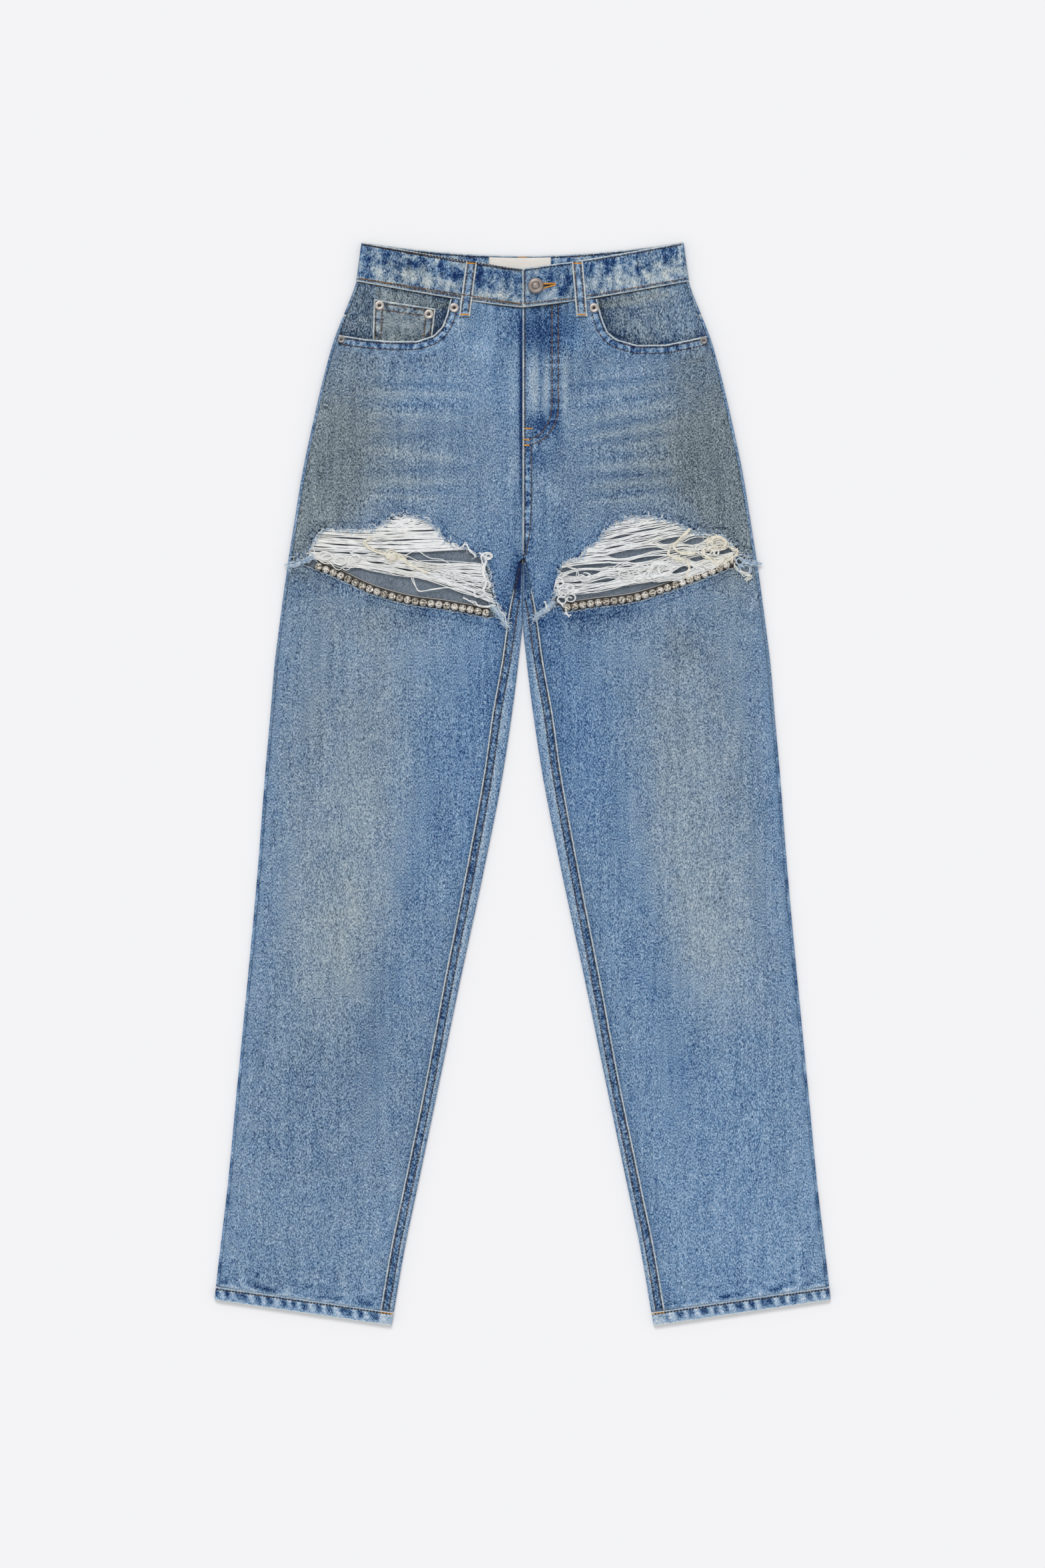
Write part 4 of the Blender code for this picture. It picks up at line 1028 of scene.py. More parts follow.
def front_loop_point(side, u, v):
    """A point of a front belt loop, its height included."""
    x = mix(LOOP_TOP[side], LOOP_FOOT[side], v) + LOOP_WIDTH * (u - 0.5)
    y = mix(LOOP_START, LOOP_START - LOOP_LENGTH, v)
    near = (-4, 0, 4)
    on_front = np.max([front_height(side, x + a, y + b) for a in near for b in near], axis=0)
    on_band = band_height(side, x) + DOUBLE / 2
    surface = mix(on_front + CLOTH / 2, on_band, ramp(y, 1033, 1037))
    return x, y, surface + GAP + LOOP_CLOTH / 2


def lay_loop(name, side, place_at, under=False):
    mesh, i, j = lattice(f"denim_{name}", 13, 44, -side if not under else 1)
    u, v = shares_of(i, j)
    x, y, z = place_at(u, v)
    away = np.minimum(u, 1 - u) * LOOP_WIDTH
    crown = 0.25 * np.sin(math.pi * u)
    marks = dict(edge=away, run=v * LOOP_LENGTH / 6.5, pucker=0.9 * band(away, 2.2, 6, 1),
                 wash=0.07 - 0.05 * band(away, 3, 6, 1), cast=0.2)
    obj = lay_cloth(mesh, spot(side, x, y, z + (0 if under else crown)), marks, (denim(),),
                    LOOP_CLOTH - 0.3, "denim", name)


# Stitching.


def join_copies(name, template, centres, axes, tones=None):
    """One mesh with a copy of a template for each centre, turned by its three axes."""
    count, points = len(centres), points_of(template)
    placed = np.einsum("pk,mkc->mpc", points, axes) + centres[:, None, :]
    faces, size = faces_of(template), len(points)
    all_faces = [tuple(v + k * size for v in f) for k in range(count) for f in faces]
    mesh = bpy.data.meshes.new(name)
    mesh.from_pydata(placed.reshape(-1, 3).tolist(), [], all_faces)
    if tones is not None:
        set_attribute(mesh, "tone", np.repeat(tones, size))
    bpy.data.meshes.remove(template)
    mesh.shade_smooth()
    return mesh


def stitch_shape():
    """One stitch, 1 long, 1 wide and 1 high, lying along x."""
    bm = bmesh.new()
    bmesh.ops.create_uvsphere(bm, u_segments=5, v_segments=4, radius=0.5)
    bmesh.ops.rotate(bm, verts=bm.verts, matrix=Matrix.Rotation(math.pi / 2, 3, "Y"))
    return new_mesh("stitch", bm)


STITCH_LIFT = 0.12  # of a stitch's middle over the cloth
TWIN_ROWS = (2.2, 8.6)  # distances of two rows from their seam
Row = namedtuple("Row", "points tone pitch length width", defaults=(3.2, 2.8, 1.6))


def frames_along(points, pitch, shift=0.5):
    """Places and directions every pitch along a line of points, in metres."""
    points = np.asarray(points, float)
    steps = np.linalg.norm(np.diff(points, axis=0), axis=1)
    run = np.concatenate([[0], np.cumsum(steps)])
    count = max(1, int(run[-1] / pitch))
    at = (np.arange(count) + shift) * run[-1] / count
    places, ahead, behind = (np.stack(found_at(at + off, run, points), -1)
                             for off in (0, pitch * 0.3, pitch * -0.3))
    along_line = ahead - behind
    return places, along_line / np.linalg.norm(along_line, axis=1)[:, None]


def sew(name, rows, seed):
    """A mesh of stitches. Row points are in metres; tone goes from dark brown to orange."""
    rng = np.random.default_rng(seed)
    centres, axes, tones = [], [], []
    for row in rows:
        places, forward = frames_along(row.points, row.pitch * MM)
        wobble = rng.normal(0, 0.07, (len(places), 1))
        sideways = np.cross([0, 0, 1.0], forward)
        forward = forward + wobble * sideways
        forward /= np.linalg.norm(forward, axis=1)[:, None]
        sideways = np.cross([0, 0, 1.0], forward)
        sideways /= np.linalg.norm(sideways, axis=1)[:, None]
        up = np.cross(forward, sideways)
        long = row.length * rng.uniform(0.88, 1.08, (len(places), 1)) * MM
        centres.append(places)
        axes.append(np.stack([forward * long, sideways * row.width * MM, up * 0.8 * MM], axis=1))
        tones.append(np.clip(row.tone + rng.normal(0, 0.1, len(places)), 0, 1))
    mesh = join_copies(name, stitch_shape(), np.concatenate(centres), np.concatenate(axes),
                       np.concatenate(tones))
    add_piece(name, mesh, (sewing_thread(),), "cotton_threads")


def on_front(side, points, steps=60):
    """A line of (x, y) points laid on the outside of a front."""
    points = np.array(points, float)
    run = run_along(points)
    x, y = found_at(np.linspace(0, run[-1], steps), run, points)
    return spot(side, x, y, front_height(side, x, y) + CLOTH / 2 + STITCH_LIFT)


def offset_line(points, off):
    """A line moved down by off, at right angles to itself."""
    points = np.array(points, float)
    run = run_along(points)
    kernel = np.hanning(13) / np.hanning(13).sum()
    x, y = (np.convolve(np.pad(values, 6, mode="reflect", reflect_type="odd"), kernel, "valid")
            for values in found_at(np.linspace(0, run[-1], 80), run, points))
    dx, dy = np.gradient(x), np.gradient(y)
    size = np.hypot(dx, dy)
    return list(zip(x + off * dy / size, y - off * dx / size))


def inseam_row(side, in_from_edge, top):
    """A row beside the felled edge of the back."""
    y = np.linspace(16, top, 160)
    reach = np.maximum(turn(y) - GAP, 2.4)
    x = inner(y) + reach - in_from_edge
    over_front = 1 - ramp(y, 684, 708)
    return spot(side, x, y, cloth_height(x, y) + STEP * over_front + CLOTH / 2 + STITCH_LIFT)


def hem_row(side, under=False):
    x = np.linspace(inner(12) + 2.5, outer(12) - 2.5, 90)
    z = STITCH_LIFT if under else DOUBLE * 2 + GAP + 0.3
    return spot(side, x, hem_line(x) + 12, z)


def band_row(v, part, face):
    """A row on the waistband, at a share of its height, on its face or its inner side."""
    stations = band_stations()
    rear = np.abs(stations[:, 2] - SEAT_LIFT - DOUBLE / 2) < 0.01
    x, top, z = stations[rear if part == "rear" else ~rear].T
    if part == "right":
        keep = (np.arange(len(x)) > 16) & (x <= 0) & (z > SEAT_LIFT + BAND_FRONT - 0.1)
    elif part == "left":
        keep = (np.arange(len(x)) > len(x) / 2) & (x >= 1.5) & (z > SEAT_LIFT + BAND_FRONT - 0.1)
    else:
        keep = np.ones(len(x), bool)
    x, top, z = x[keep], top[keep], z[keep]
    y = top - BAND_HEIGHT * v
    return spot(1, x + np.sign(x) * lean(x) * v, y, z + face * (DOUBLE / 2 + 0.1))


def waist_rows():
    top, foot = 2.3 / BAND_HEIGHT, 1 - 3.2 / BAND_HEIGHT
    rows = []
    for part in ("right", "left"):
        rows += [Row(band_row(top, part, 1), 0.14), Row(band_row(foot, part, 1), 0.34)]
    end_x, end_v = np.full(2, 2.2), np.array([top, foot])
    z = band_height(LEFT, 2.2) + DOUBLE / 2 + 0.1
    rows.append(Row(spot(1, end_x, front_top(2.2) - BAND_HEIGHT * end_v, z), 0.2))
    rows += [Row(band_row(top, "rear", 1), 0.05), Row(band_row(foot, "rear", 1), 0.2)]
    rows += [Row(band_row(top, "rear", -1), 0.1), Row(band_row(foot, "rear", -1), 0.3)]
    for side, _ in SIDES:
        for u in (0.2, 0.8):
            x, y, z = front_loop_point(side, u, np.linspace(0.07, 0.93, 40))
            crown = 0.25 * math.sin(math.pi * u)
            rows.append(Row(spot(side, x, y, z + LOOP_CLOTH / 2 + crown), 0.3))
    return rows


def front_rows():
    rows = [Row(on_front(LEFT, fly_row(k)), 0.3, 2.9, 2.5, 1.8) for k in (0, 1)]
    rows.append(Row(on_front(LEFT, ((2.3, 1036), (2.3, 905), (2.2, 800), (1.2, 784))), 0.18))
    rows.append(Row(on_front(LEFT, ((9, 896), (9, 830), (7, 806), (3.4, 785))), 0.22))
    for side, _ in SIDES:
        for off, tone in ((2.7, 0.10), (8.8, 0.16)):
            line = offset_line(POCKET_MOUTH[side], off)
            rows.append(Row(on_front(side, [p for p in line if p[0] < outer(p[1]) - 5]), tone))
    share = np.linspace(0.02, 0.98, 30)
    for k, tone in ((2.4, 0.22), (8.6, 0.32)):
        inset = k / COIN_WIDTH
        for u, v in ((inset, share), (1 - inset, share), (share, 1 - (k + 0.6) / COIN_HEIGHT)):
            x, y = coin_point(u, v)
            rows.append(Row(spot(RIGHT, x, y, cloth_height(x, y) + STEP + CLOTH / 2 + STITCH_LIFT), tone))
    return rows


def leg_rows():
    rows = []
    for side, _ in SIDES:
        rows.append(Row(inseam_row(side, 2.1, 772 if side == RIGHT else 746), 0.14, width=1.7))
        rows.append(Row(inseam_row(side, 8.6, 740), 0.16, width=1.7))
        rows += [Row(hem_row(side), 0.12, width=2.0), Row(hem_row(side, under=True), 0.25)]
    return rows


def back_rows():
    rows = []
    for side, _ in SIDES:
        x = np.linspace(1, 180, 60)
        for off in TWIN_ROWS:
            y = yoke_seam(x) + off
            rows.append(Row(spot(side, x, y, seat_lift(y) - 0.08), 0.35))
        for inset in TWIN_ROWS:
            a, b = inset / (2 * POCKET_HALF_FOOT), inset / (POCKET_TOP - POCKET_POINT)
            down, across = np.linspace(1, b, 30), np.linspace(a, 1 - a, 60)
            for u, v in ((a, down), (across, b), (1 - a, down[::-1]), (across, 1 - b)):
                px, py = back_pocket_point(np.asarray(u, float), np.asarray(v, float))
                rows.append(Row(spot(side, px, py, 0.05), 0.35))
    y = np.linspace(786, 972, 60)
    for x in TWIN_ROWS:
        rows.append(Row(spot(LEFT, np.full(60, x), y, seat_lift(y) - 0.08), 0.35))
    return rows


def bar(start, end, rows=11):
    """A bar tack: short stitches side by side between two points, in metres."""
    start, end = np.asarray(start, float), np.asarray(end, float)
    forward = (end - start) / np.linalg.norm(end - start)
    across = np.cross([0, 0, 1.0], forward) * 0.85 * MM
    made = []
    for t in np.linspace(0, 1, rows):
        middle = mix(start, end, t)
        made.append(Row(np.stack([middle - across, middle + across]), 0.93, 1.7, 1.9, 0.95))
    return made


def tack_rows():
    rows = []
    for side, _ in SIDES:
        for v in (0.035, 0.965):
            (xa, ya, za), (xb, yb, zb) = (front_loop_point(side, u, v) for u in (0.14, 0.86))
            lift = LOOP_CLOTH / 2 + 0.1
            rows += bar(spot(side, xa, ya, za + lift)[0], spot(side, xb, yb, zb + lift)[0])
        x = inner(12) + np.array([1.0, 13.0])
        a, b = spot(side, x, hem_line(x) + 12.2, DOUBLE * 2 + GAP + 0.25)
        rows += bar(a, b, 13)
    for x, end_x, y in ((2.4, 9.9, 914), (0.8, 6.5, 902.5), (2.2, 6.5, 897)):
        a, b = on_front(LEFT, ((x, y), (end_x, y)), 2)
        rows += bar(a, b, 9)
    z = SEAT_LIFT + DOUBLE + 0.15
    rows += bar(*spot(1, np.array([-4.0, 4.0]), back_top(0) - 1.6, z), 9)
    return rows


def buttonhole_rows():
    """Dense stitches round the eyelet that shows beside the button."""
    z = band_height(LEFT, 25) + DOUBLE / 2 + 0.2
    # The first row, dark, lies along the slit: it is painted shadow of the slit, laid as thread.
    rows = [Row(spot(1, np.array([19.0, 31.5]), np.array([1058.7, 1060.6]), z), 0.0, 2.0, 3.0, 2.6)]
    for k in range(58):
        t = k / 57
        edge = 1 if t < 0.5 else -1
        s = 2 * t if t < 0.5 else 2 - 2 * t
        x = mix(*EYELET, s)
        half = 1.9 * (1 - s) + 0.6
        y = 1058.6 + 0.16 * (x - EYELET[0]) + edge * half
        start, end = spot(1, np.array([x, x + 0.4]), np.array([y - 0.9, y + 0.9]), z + 0.2)
        rows.append(Row(np.stack([start, end]), 0.86, 2.0, 1.9, 0.75))
    return rows


# Torn threads.


class Strands:
    """Collects threads as splines and turns them into one mesh."""

    def __init__(self, seed):
        self.rng = np.random.default_rng(seed)
        self.lines = []

    def add(self, side, x, y, z, thickness=0.8):
        self.lines.append((spot(side, x, y, z), thickness))

    def wander(self, t, amount, waves=3, pinned=True):
        """A smooth random departure along t, 0 at both ends if pinned."""
        total = np.zeros(len(t))
        for k in range(1, waves + 1):
            pace = self.rng.uniform(0.6, 1.5) * k * 2 * math.pi
            total += np.sin(pace * t + self.rng.uniform(0, 6.3)) * self.rng.normal(0, 1) / k
        return total * amount * (np.sin(math.pi * t) ** 0.5 if pinned else 1)

    def piece(self, name, finish, slot, *stands_for, taper=False):
        curve = bpy.data.curves.new(name, "CURVE")
        curve.dimensions = "3D"
        curve.bevel_depth = MM / 2
        curve.bevel_resolution = 0
        curve.use_fill_caps = True
        for points, thickness in self.lines:
            spline = curve.splines.new("POLY")
            spline.points.add(len(points) - 1)
            spline.points.foreach_set("co", np.c_[points, np.ones(len(points))].ravel())
            radius = np.full(len(points), thickness)
            if taper:
                radius *= np.linspace(1, 0.45, len(points))
            spline.points.foreach_set("radius", radius)
        guide = new_object(name + "_guide", curve)
        graph = bpy.context.evaluated_depsgraph_get()
        mesh = bpy.data.meshes.new_from_object(guide.evaluated_get(graph))
        bpy.data.objects.remove(guide)
        bpy.data.curves.remove(curve)
        mesh.name = name
        mesh.shade_smooth()
        add_piece(name, mesh, (finish,), slot, *stands_for)


Bundle = namedtuple("Bundle", "inner_side outer_side count wave sag clumps lift")
# Weft threads left across each rip, between points at its inner and its outer side.
BUNDLES = {
    RIGHT: {
        "upper": (
            Bundle(((122, 826), (99, 821), (86, 810), (80, 799), (60, 790)),
                   ((127, 826), (146, 815), (202, 811), (214, 802), (218, 790)), 84, 0.8, 2.5, 13, 0.3),
        ),
        "lower": (
            Bundle(((45, 777), (38, 766), (34, 753)), ((216, 789), (215, 782)), 38, 1.6, 3, 7, 0.9),
            Bundle(((37, 760), (33, 744), (31, 736)), ((214, 787), (204, 778)), 22, 2.0, -8, 5, 1.5),
            Bundle(((40, 776), (35, 757)), ((170, 790), (190, 779)), 9, 3.4, 0, 3, 2.0),
            Bundle(((70, 757), (44, 748)), ((140, 774), (120, 768)), 7, 2.6, -2, 3, 1.4),
        ),
    },
    LEFT: {
        "upper": (
            Bundle(((104, 823), (82, 809), (66, 793), (51, 778)),
                   ((129, 826), (150, 820), (168, 814), (190, 806)), 46, 0.9, 0, 9, 0.3),
            Bundle(((66, 794), (58, 785)), ((196, 806), (214, 796)), 9, 2.0, 0, 3, 0.9),
        ),
        "lower": (
            Bundle(((45, 781), (40, 772)), ((211, 800), (217, 791)), 13, 1.6, 0.6, 4, 0.7),
            Bundle(((39, 767), (37, 757)), ((216, 789), (206, 779)), 17, 2.0, 0, 4, 1.0),
            Bundle(((37, 755), (35, 744)), ((150, 774), (196, 776)), 20, 2.2, 3, 5, 1.2),
            Bundle(((92, 762), (84, 752)), ((214, 788), (204, 776)), 14, 2.6, 2, 3, 1.7),
            Bundle(((70, 771), (60, 758)), ((150, 786), (176, 778)), 9, 4.2, 1.0, 3, 2.1),
            Bundle(((128, 759), (140, 758)), ((216, 784), (207, 777)), 14, 1.6, 2.5, 3, 1.6),
        ),
    },
}

Parting = namedtuple("Parting", "x y end_x end_y width")
# Long slits where the threads have moved apart.
PARTINGS = {
    RIGHT: table(
        Parting, (96, 782, 44, 784, 3.0), (206, 804, 143, 801, 1.8), (131, 801, 100, 801, 1.4),
        (204, 797, 158, 794, 1.6), (119, 811, 86, 809, 1.2), (160, 778, 134, 777, 2.2),
        (134, 774, 108, 767, 2.4), (92, 765, 62, 758, 1.4),
    ),
    LEFT: table(
        Parting, (88, 781, 144, 794, 7.5), (136, 795, 166, 805, 6.0), (166, 798, 192, 801, 7.5),
        (189, 785, 214, 793, 6.5), (168, 778, 191, 785, 5.0), (108, 776, 148, 786, 4.0),
        (44, 766, 80, 767, 5.5), (68, 757, 100, 761, 3.4), (150, 766, 174, 775, 6.0),
        (80, 790, 108, 797, 2.2), (88, 801, 112, 806, 2.2), (106, 806, 150, 816, 2.2),
        (112, 797, 134, 802, 1.6),
    ),
}

Curl = namedtuple("Curl", "x y width height loops count yarn")
WHITE, YELLOWED, FRAYED = 0, 1, 2
# Tangled loops of loose thread.
CURLS = {
    RIGHT: table(
        Curl, (200, 783, 18, 9, 1.6, 6, WHITE), (186, 780, 15, 10, 1.4, 6, WHITE),
        (170, 782, 14, 8, 1.2, 4, WHITE), (131, 784, 9, 6, 1.4, 3, YELLOWED),
        (74, 762, 13, 11, 1.2, 4, WHITE), (44, 746, 15, 9, 1.4, 6, WHITE), (35, 784, 9, 6, 1.2, 4, WHITE),
        (37, 755, 9, 9, 1.0, 3, WHITE),
    ),
    LEFT: table(
        Curl, (143, 770, 22, 19, 1.3, 7, WHITE), (130, 766, 12, 10, 1.2, 3, WHITE),
        (158, 781, 13, 10, 1.1, 3, WHITE), (201, 799, 15, 10, 1.2, 5, YELLOWED),
        (194, 796, 12, 12, 1.1, 3, YELLOWED), (196, 788, 10, 10, 1.0, 3, WHITE),
        (190, 776, 14, 8, 1.3, 4, WHITE), (104, 766, 17, 9, 1.5, 4, WHITE), (62, 762, 14, 8, 1.3, 3, WHITE),
        (38, 757, 9, 9, 1.2, 4, WHITE), (47, 752, 13, 9, 1.1, 4, WHITE), (50, 741, 10, 8, 1.3, 3, WHITE),
        (42, 748, 12, 10, 1.3, 4, WHITE), (41, 739, 10, 9, 1.2, 3, WHITE),
        (225, 770, 12, 10, 1.1, 5, FRAYED), (221, 779, 9, 8, 1.3, 4, FRAYED),
    ),
}

Loose = namedtuple("Loose", "points count spread")
# Single threads and cords that hang free.
LOOSE = {
    RIGHT: (
        Loose(((44, 787), (37, 781), (40, 769), (37, 757), (41, 748)), 6, 0.5),
        Loose(((30, 784), (36, 787), (42, 784), (40, 776), (38, 768)), 3, 0.8),
        Loose(((113, 762), (109, 753), (104, 748), (92, 750), (76, 752), (62, 749)), 2, 0.3),
        Loose(((72, 797), (64, 792), (58, 796), (54, 791), (48, 784)), 4, 0.9),
        Loose(((33, 741), (25, 733), (19, 722), (13, 712)), 1, 1.0),
        Loose(((210, 788), (198, 776), (184, 773), (168, 777)), 3, 1.4),
        Loose(((60, 742), (50, 736), (40, 733), (28, 735)), 3, 1.2),
    ),
    LEFT: (
        Loose(((45, 776), (52, 771), (55, 764), (50, 760)), 2, 0.8),
        Loose(((41, 764), (34, 758), (36, 750), (42, 744)), 3, 1.4),
        Loose(((38, 738), (42, 732), (45, 725), (48, 723)), 3, 0.8),
        Loose(((27, 729), (24, 735), (22, 739)), 2, 0.6),
        Loose(((190, 800), (176, 792), (187, 786), (199, 793)), 3, 1.0),
        Loose(((216, 775), (223, 768), (232, 764), (228, 759)), 4, 1.4),
        Loose(((205, 784), (196, 774), (182, 771), (170, 775)), 3, 1.2),
    ),
}
# Thick yellowed cords.
CORDS = {
    RIGHT: (
        Loose(((154, 803), (160, 798), (155, 791), (144, 787), (132, 784), (122, 780), (108, 772), (96, 766)),
              8, 0.9),
        Loose(((140, 786), (133, 788), (126, 784), (132, 780), (138, 784), (128, 786), (118, 780)), 7, 1.0),
    ),
    LEFT: (
        Loose(((171, 812), (162, 803), (154, 796), (157, 789), (166, 786), (176, 788)), 8, 0.9),
        Loose(((151, 793), (149, 786), (157, 781), (167, 778), (170, 771), (167, 764), (173, 762)), 7, 0.8),
        Loose(((186, 797), (197, 805), (207, 800), (205, 793), (194, 791), (185, 792), (186, 785),
               (193, 781), (199, 775)), 8, 1.0),
        Loose(((212, 793), (219, 790), (214, 783), (201, 778)), 7, 1.1),
    ),
}


def path_at(points, t):
    return found_at(t, np.linspace(0, 1, len(points)), points)


def curve_at(points, t):
    """Places at shares along a smooth curve through points."""
    return (smooth(t, np.linspace(0, 1, len(points)), values) for values in zip(*points))


def thread_bed(x, y):
    return cloth_height(x, y) + 0.1


def part_threads(side, x, y):
    """Moves one thread off the slits that it would cross."""
    for slit in PARTINGS[side]:
        t = (x - slit.x) / (slit.end_x - slit.x)
        window = np.sin(math.pi * np.clip(t, 0, 1)) ** 0.6
        off = y - mix(slit.y, slit.end_y, t)
        above = 1 if (off * window).sum() > 0 else -1
        push = 0.5 * slit.width * np.exp(-np.abs(off) / (1.6 * slit.width)) + np.clip(-above * off, 0, 3)
        y = y + above * window * push
    return y


def lay_bundles(strands, side, bundles):
    rng = strands.rng
    for bundle in bundles:
        for k in range(bundle.count):
            t = (k + rng.uniform(0.1, 0.9)) / bundle.count
            held = t + 0.88 * math.sin(2 * math.pi * bundle.clumps * t) / (2 * math.pi * bundle.clumps)
            ax, ay = path_at(bundle.inner_side, mix(t, held, 0.5))
            bx, by = path_at(bundle.outer_side, np.clip(held + rng.normal(0, 0.012), 0, 1))
            s = np.linspace(-0.012, 1.012, max(8, int(abs(bx - ax) / 4.2)))
            tight = np.clip(s, 0, 1)
            x = mix(ax, bx, s) + strands.wander(tight, 0.5)
            pull = (held - t) * abs(ay - by) * 0.6
            y = mix(ay, by, s) + strands.wander(tight, bundle.wave * rng.uniform(0.4, 1.2), 4)
            y = part_threads(side, x, y - 4 * tight * (1 - tight) * (bundle.sag - pull))
            rise = np.sin(math.pi * tight) ** 0.4 * bundle.lift * rng.uniform(0, 1.4)
            strands.add(side, x, y, thread_bed(x, y) + rise, rng.uniform(0.55, 0.95))


def lay_curls(strands, side, yarn):
    rng = strands.rng
    for curl in CURLS[side]:
        if curl.yarn != yarn:
            continue
        s = np.linspace(0, 1, int(18 + 16 * curl.loops))
        turned, lean_x, lean_y = rng.uniform(0, 6.3), rng.uniform(-0.5, 0.5), rng.uniform(-0.3, 0.3)
        for k in range(curl.count):
            stray = 0.35 if k < 0.7 * curl.count else 1.0
            spin = 2 * math.pi * curl.loops * s * (1 + rng.normal(0, 0.12) * stray) + turned
            size = mix(0.55, 1.0, s) * (1 + rng.normal(0, 0.16) * stray)
            x = curl.x + curl.width * (0.5 * size * np.cos(spin) + lean_x * (s - 0.5))
            y = curl.y + curl.height * (0.5 * size * np.sin(spin) + lean_y * (s - 0.5))
            x = x + rng.normal(0, 0.55) + strands.wander(s, 0.5 * stray, 4, pinned=False)
            y = y + rng.normal(0, 0.55) + strands.wander(s, 0.5 * stray, 4, pinned=False)
            z = thread_bed(x, y) + 2.0 + 0.8 * np.sin(spin * 0.7 + 1) + rng.uniform(-0.3, 0.7)
            strands.add(side, x, y, z, rng.uniform(0.7, 1.0))


def lay_loose(strands, side, rows):
    rng = strands.rng
    for row in rows:
        for _ in range(row.count):
            s = np.linspace(0, 1, 26)
            x, y = curve_at(row.points, s)
            x = x + strands.wander(s, 0.25 + row.spread, pinned=False)
            y = y + strands.wander(s, 0.25 + row.spread, pinned=False)
            lift = 1.9 + np.where(y < chain_line(side, x) - 3, 0.6, 0.0)
            strands.add(side, x, y, cloth_height(x, y) + lift, rng.uniform(0.7, 1.0))


def lay_fray(strands, side, line, count):
    """Strands of a frayed strip that lies on the fronts where a rip meets a seam."""
    rng = strands.rng
    above = CLOTH / 2 + GAP + 0.4
    for _ in range(count):
        start, stop = rng.uniform(-0.08, 0.25), rng.uniform(0.75, 1.08)
        s = np.linspace(start, stop, 15)
        x, y = curve_at(line, s)
        off = rng.uniform(-0.5, 0.5) * FRAY_WIDTH * 0.7
        t = (s - start) / (stop - start)
        y = y + off * np.cos(t * rng.uniform(0, 2.4)) + strands.wander(t, 0.9, 5, pinned=False)
        x = x + strands.wander(t, 0.9, 5, pinned=False)
        z = front_height(side, x, y) + above + rng.uniform(0, 1.5)
        strands.add(side, x, y, z, rng.uniform(0.45, 0.75))


def lay_fuzz(strands, side, line, every, reach, lean_down=1.0):
    """Short curly fibres along a torn edge."""
    rng = strands.rng
    points = np.array(line, float)
    run = run_along(points)
    for at in np.arange(0, run[-1], every):
        at = at + rng.uniform(-0.5, 0.5) * every
        x0, y0 = found_at(at, run, points)
        ahead = np.subtract(found_at(at + 2, run, points), found_at(at - 2, run, points))
        heading = math.atan2(ahead[1], ahead[0]) - math.pi / 2 * lean_down + rng.normal(0, 0.9)
        length = reach * rng.uniform(0.4, 1.4)
        bend = rng.normal(0, 2.8)
        s = np.linspace(0, 1, 6)
        angle = heading + bend * s + 0.5 * np.sin(5 * s + rng.uniform(0, 6))
        x = x0 + rng.normal(0, 0.6) + np.cumsum(np.cos(angle)) * length / 6
        y = y0 + 1.3 * lean_down + rng.normal(0, 0.6) + np.cumsum(np.sin(angle)) * length / 6
        z = front_height(side, x0, y0) + 0.3 + 0.8 * np.sin(math.pi * s) + rng.uniform(-0.3, 0.5)
        strands.add(side, x, y, z, rng.uniform(0.5, 0.9))


def lay_rip(side, name):
    """Everything that is torn on one leg."""
    seed = 20 if side == RIGHT else 40
    for k, part in enumerate(("upper", "lower")):
        strands = Strands(seed + k)
        lay_bundles(strands, side, BUNDLES[side][part])
        if part == "lower":
            lay_curls(strands, side, WHITE)
            lay_loose(strands, side, LOOSE[side])
        strands.piece(f"weft_threads_{part}_{name}", cotton(), "cotton_threads",
                      f"rip_threads_{part}_{name}")
    strands = Strands(seed + 3)
    lay_curls(strands, side, YELLOWED)
    lay_loose(strands, side, CORDS[side])
    strands.piece(f"yellowed_threads_{name}", cotton_yellowed(), "cotton_threads")
    for end in ("inner", "outer"):
        strands = Strands(seed + 5 + (end == "outer"))
        lay_fray(strands, side, FRAYS[side][end], 20)
        lay_fuzz(strands, side, FRAYS[side][end], 0.35, 6.5, -1.0)
        lay_fuzz(strands, side, FRAYS[side][end], 0.6, 5.0)
        if end == "outer":
            lay_curls(strands, side, FRAYED)
        strands.piece(f"frayed_end_{end}_{name}", cotton_frayed(), "cotton_threads",
                      f"fray_{end}_{name}")
    strands = Strands(seed + 8)
    lay_fuzz(strands, side, TORN_EDGE[side], 0.75, 5.6)
    lower = [(x, chain_line(side, x) - 4.5) for x in np.linspace(CHAIN[side][0][0], 205, 30)]
    lay_fuzz(strands, side, lower, 0.9, 2.8, -1.0)
    strands.piece(f"blue_fuzz_{name}", blue_fibre(), "cotton_threads", taper=True)
    strands = Strands(seed + 9)
    lay_fuzz(strands, side, TORN_EDGE[side], 1.9, 6.0)
    strands.piece(f"white_fuzz_{name}", cotton(), "cotton_threads", taper=True)


# Crystals and metal.


def chain_places(side, count):
    xs = np.linspace(CHAIN[side][0][0], CHAIN[side][-1][0], 200)
    ys = chain_line(side, xs)
    points = np.stack([xs, ys], -1)
    run = run_along(points)
    x, y = found_at(np.linspace(0, run[-1], count), run, points)
    dx, dy = np.gradient(x), np.gradient(y)
    size = np.hypot(dx, dy)
    return x, y, dx / size, dy / size


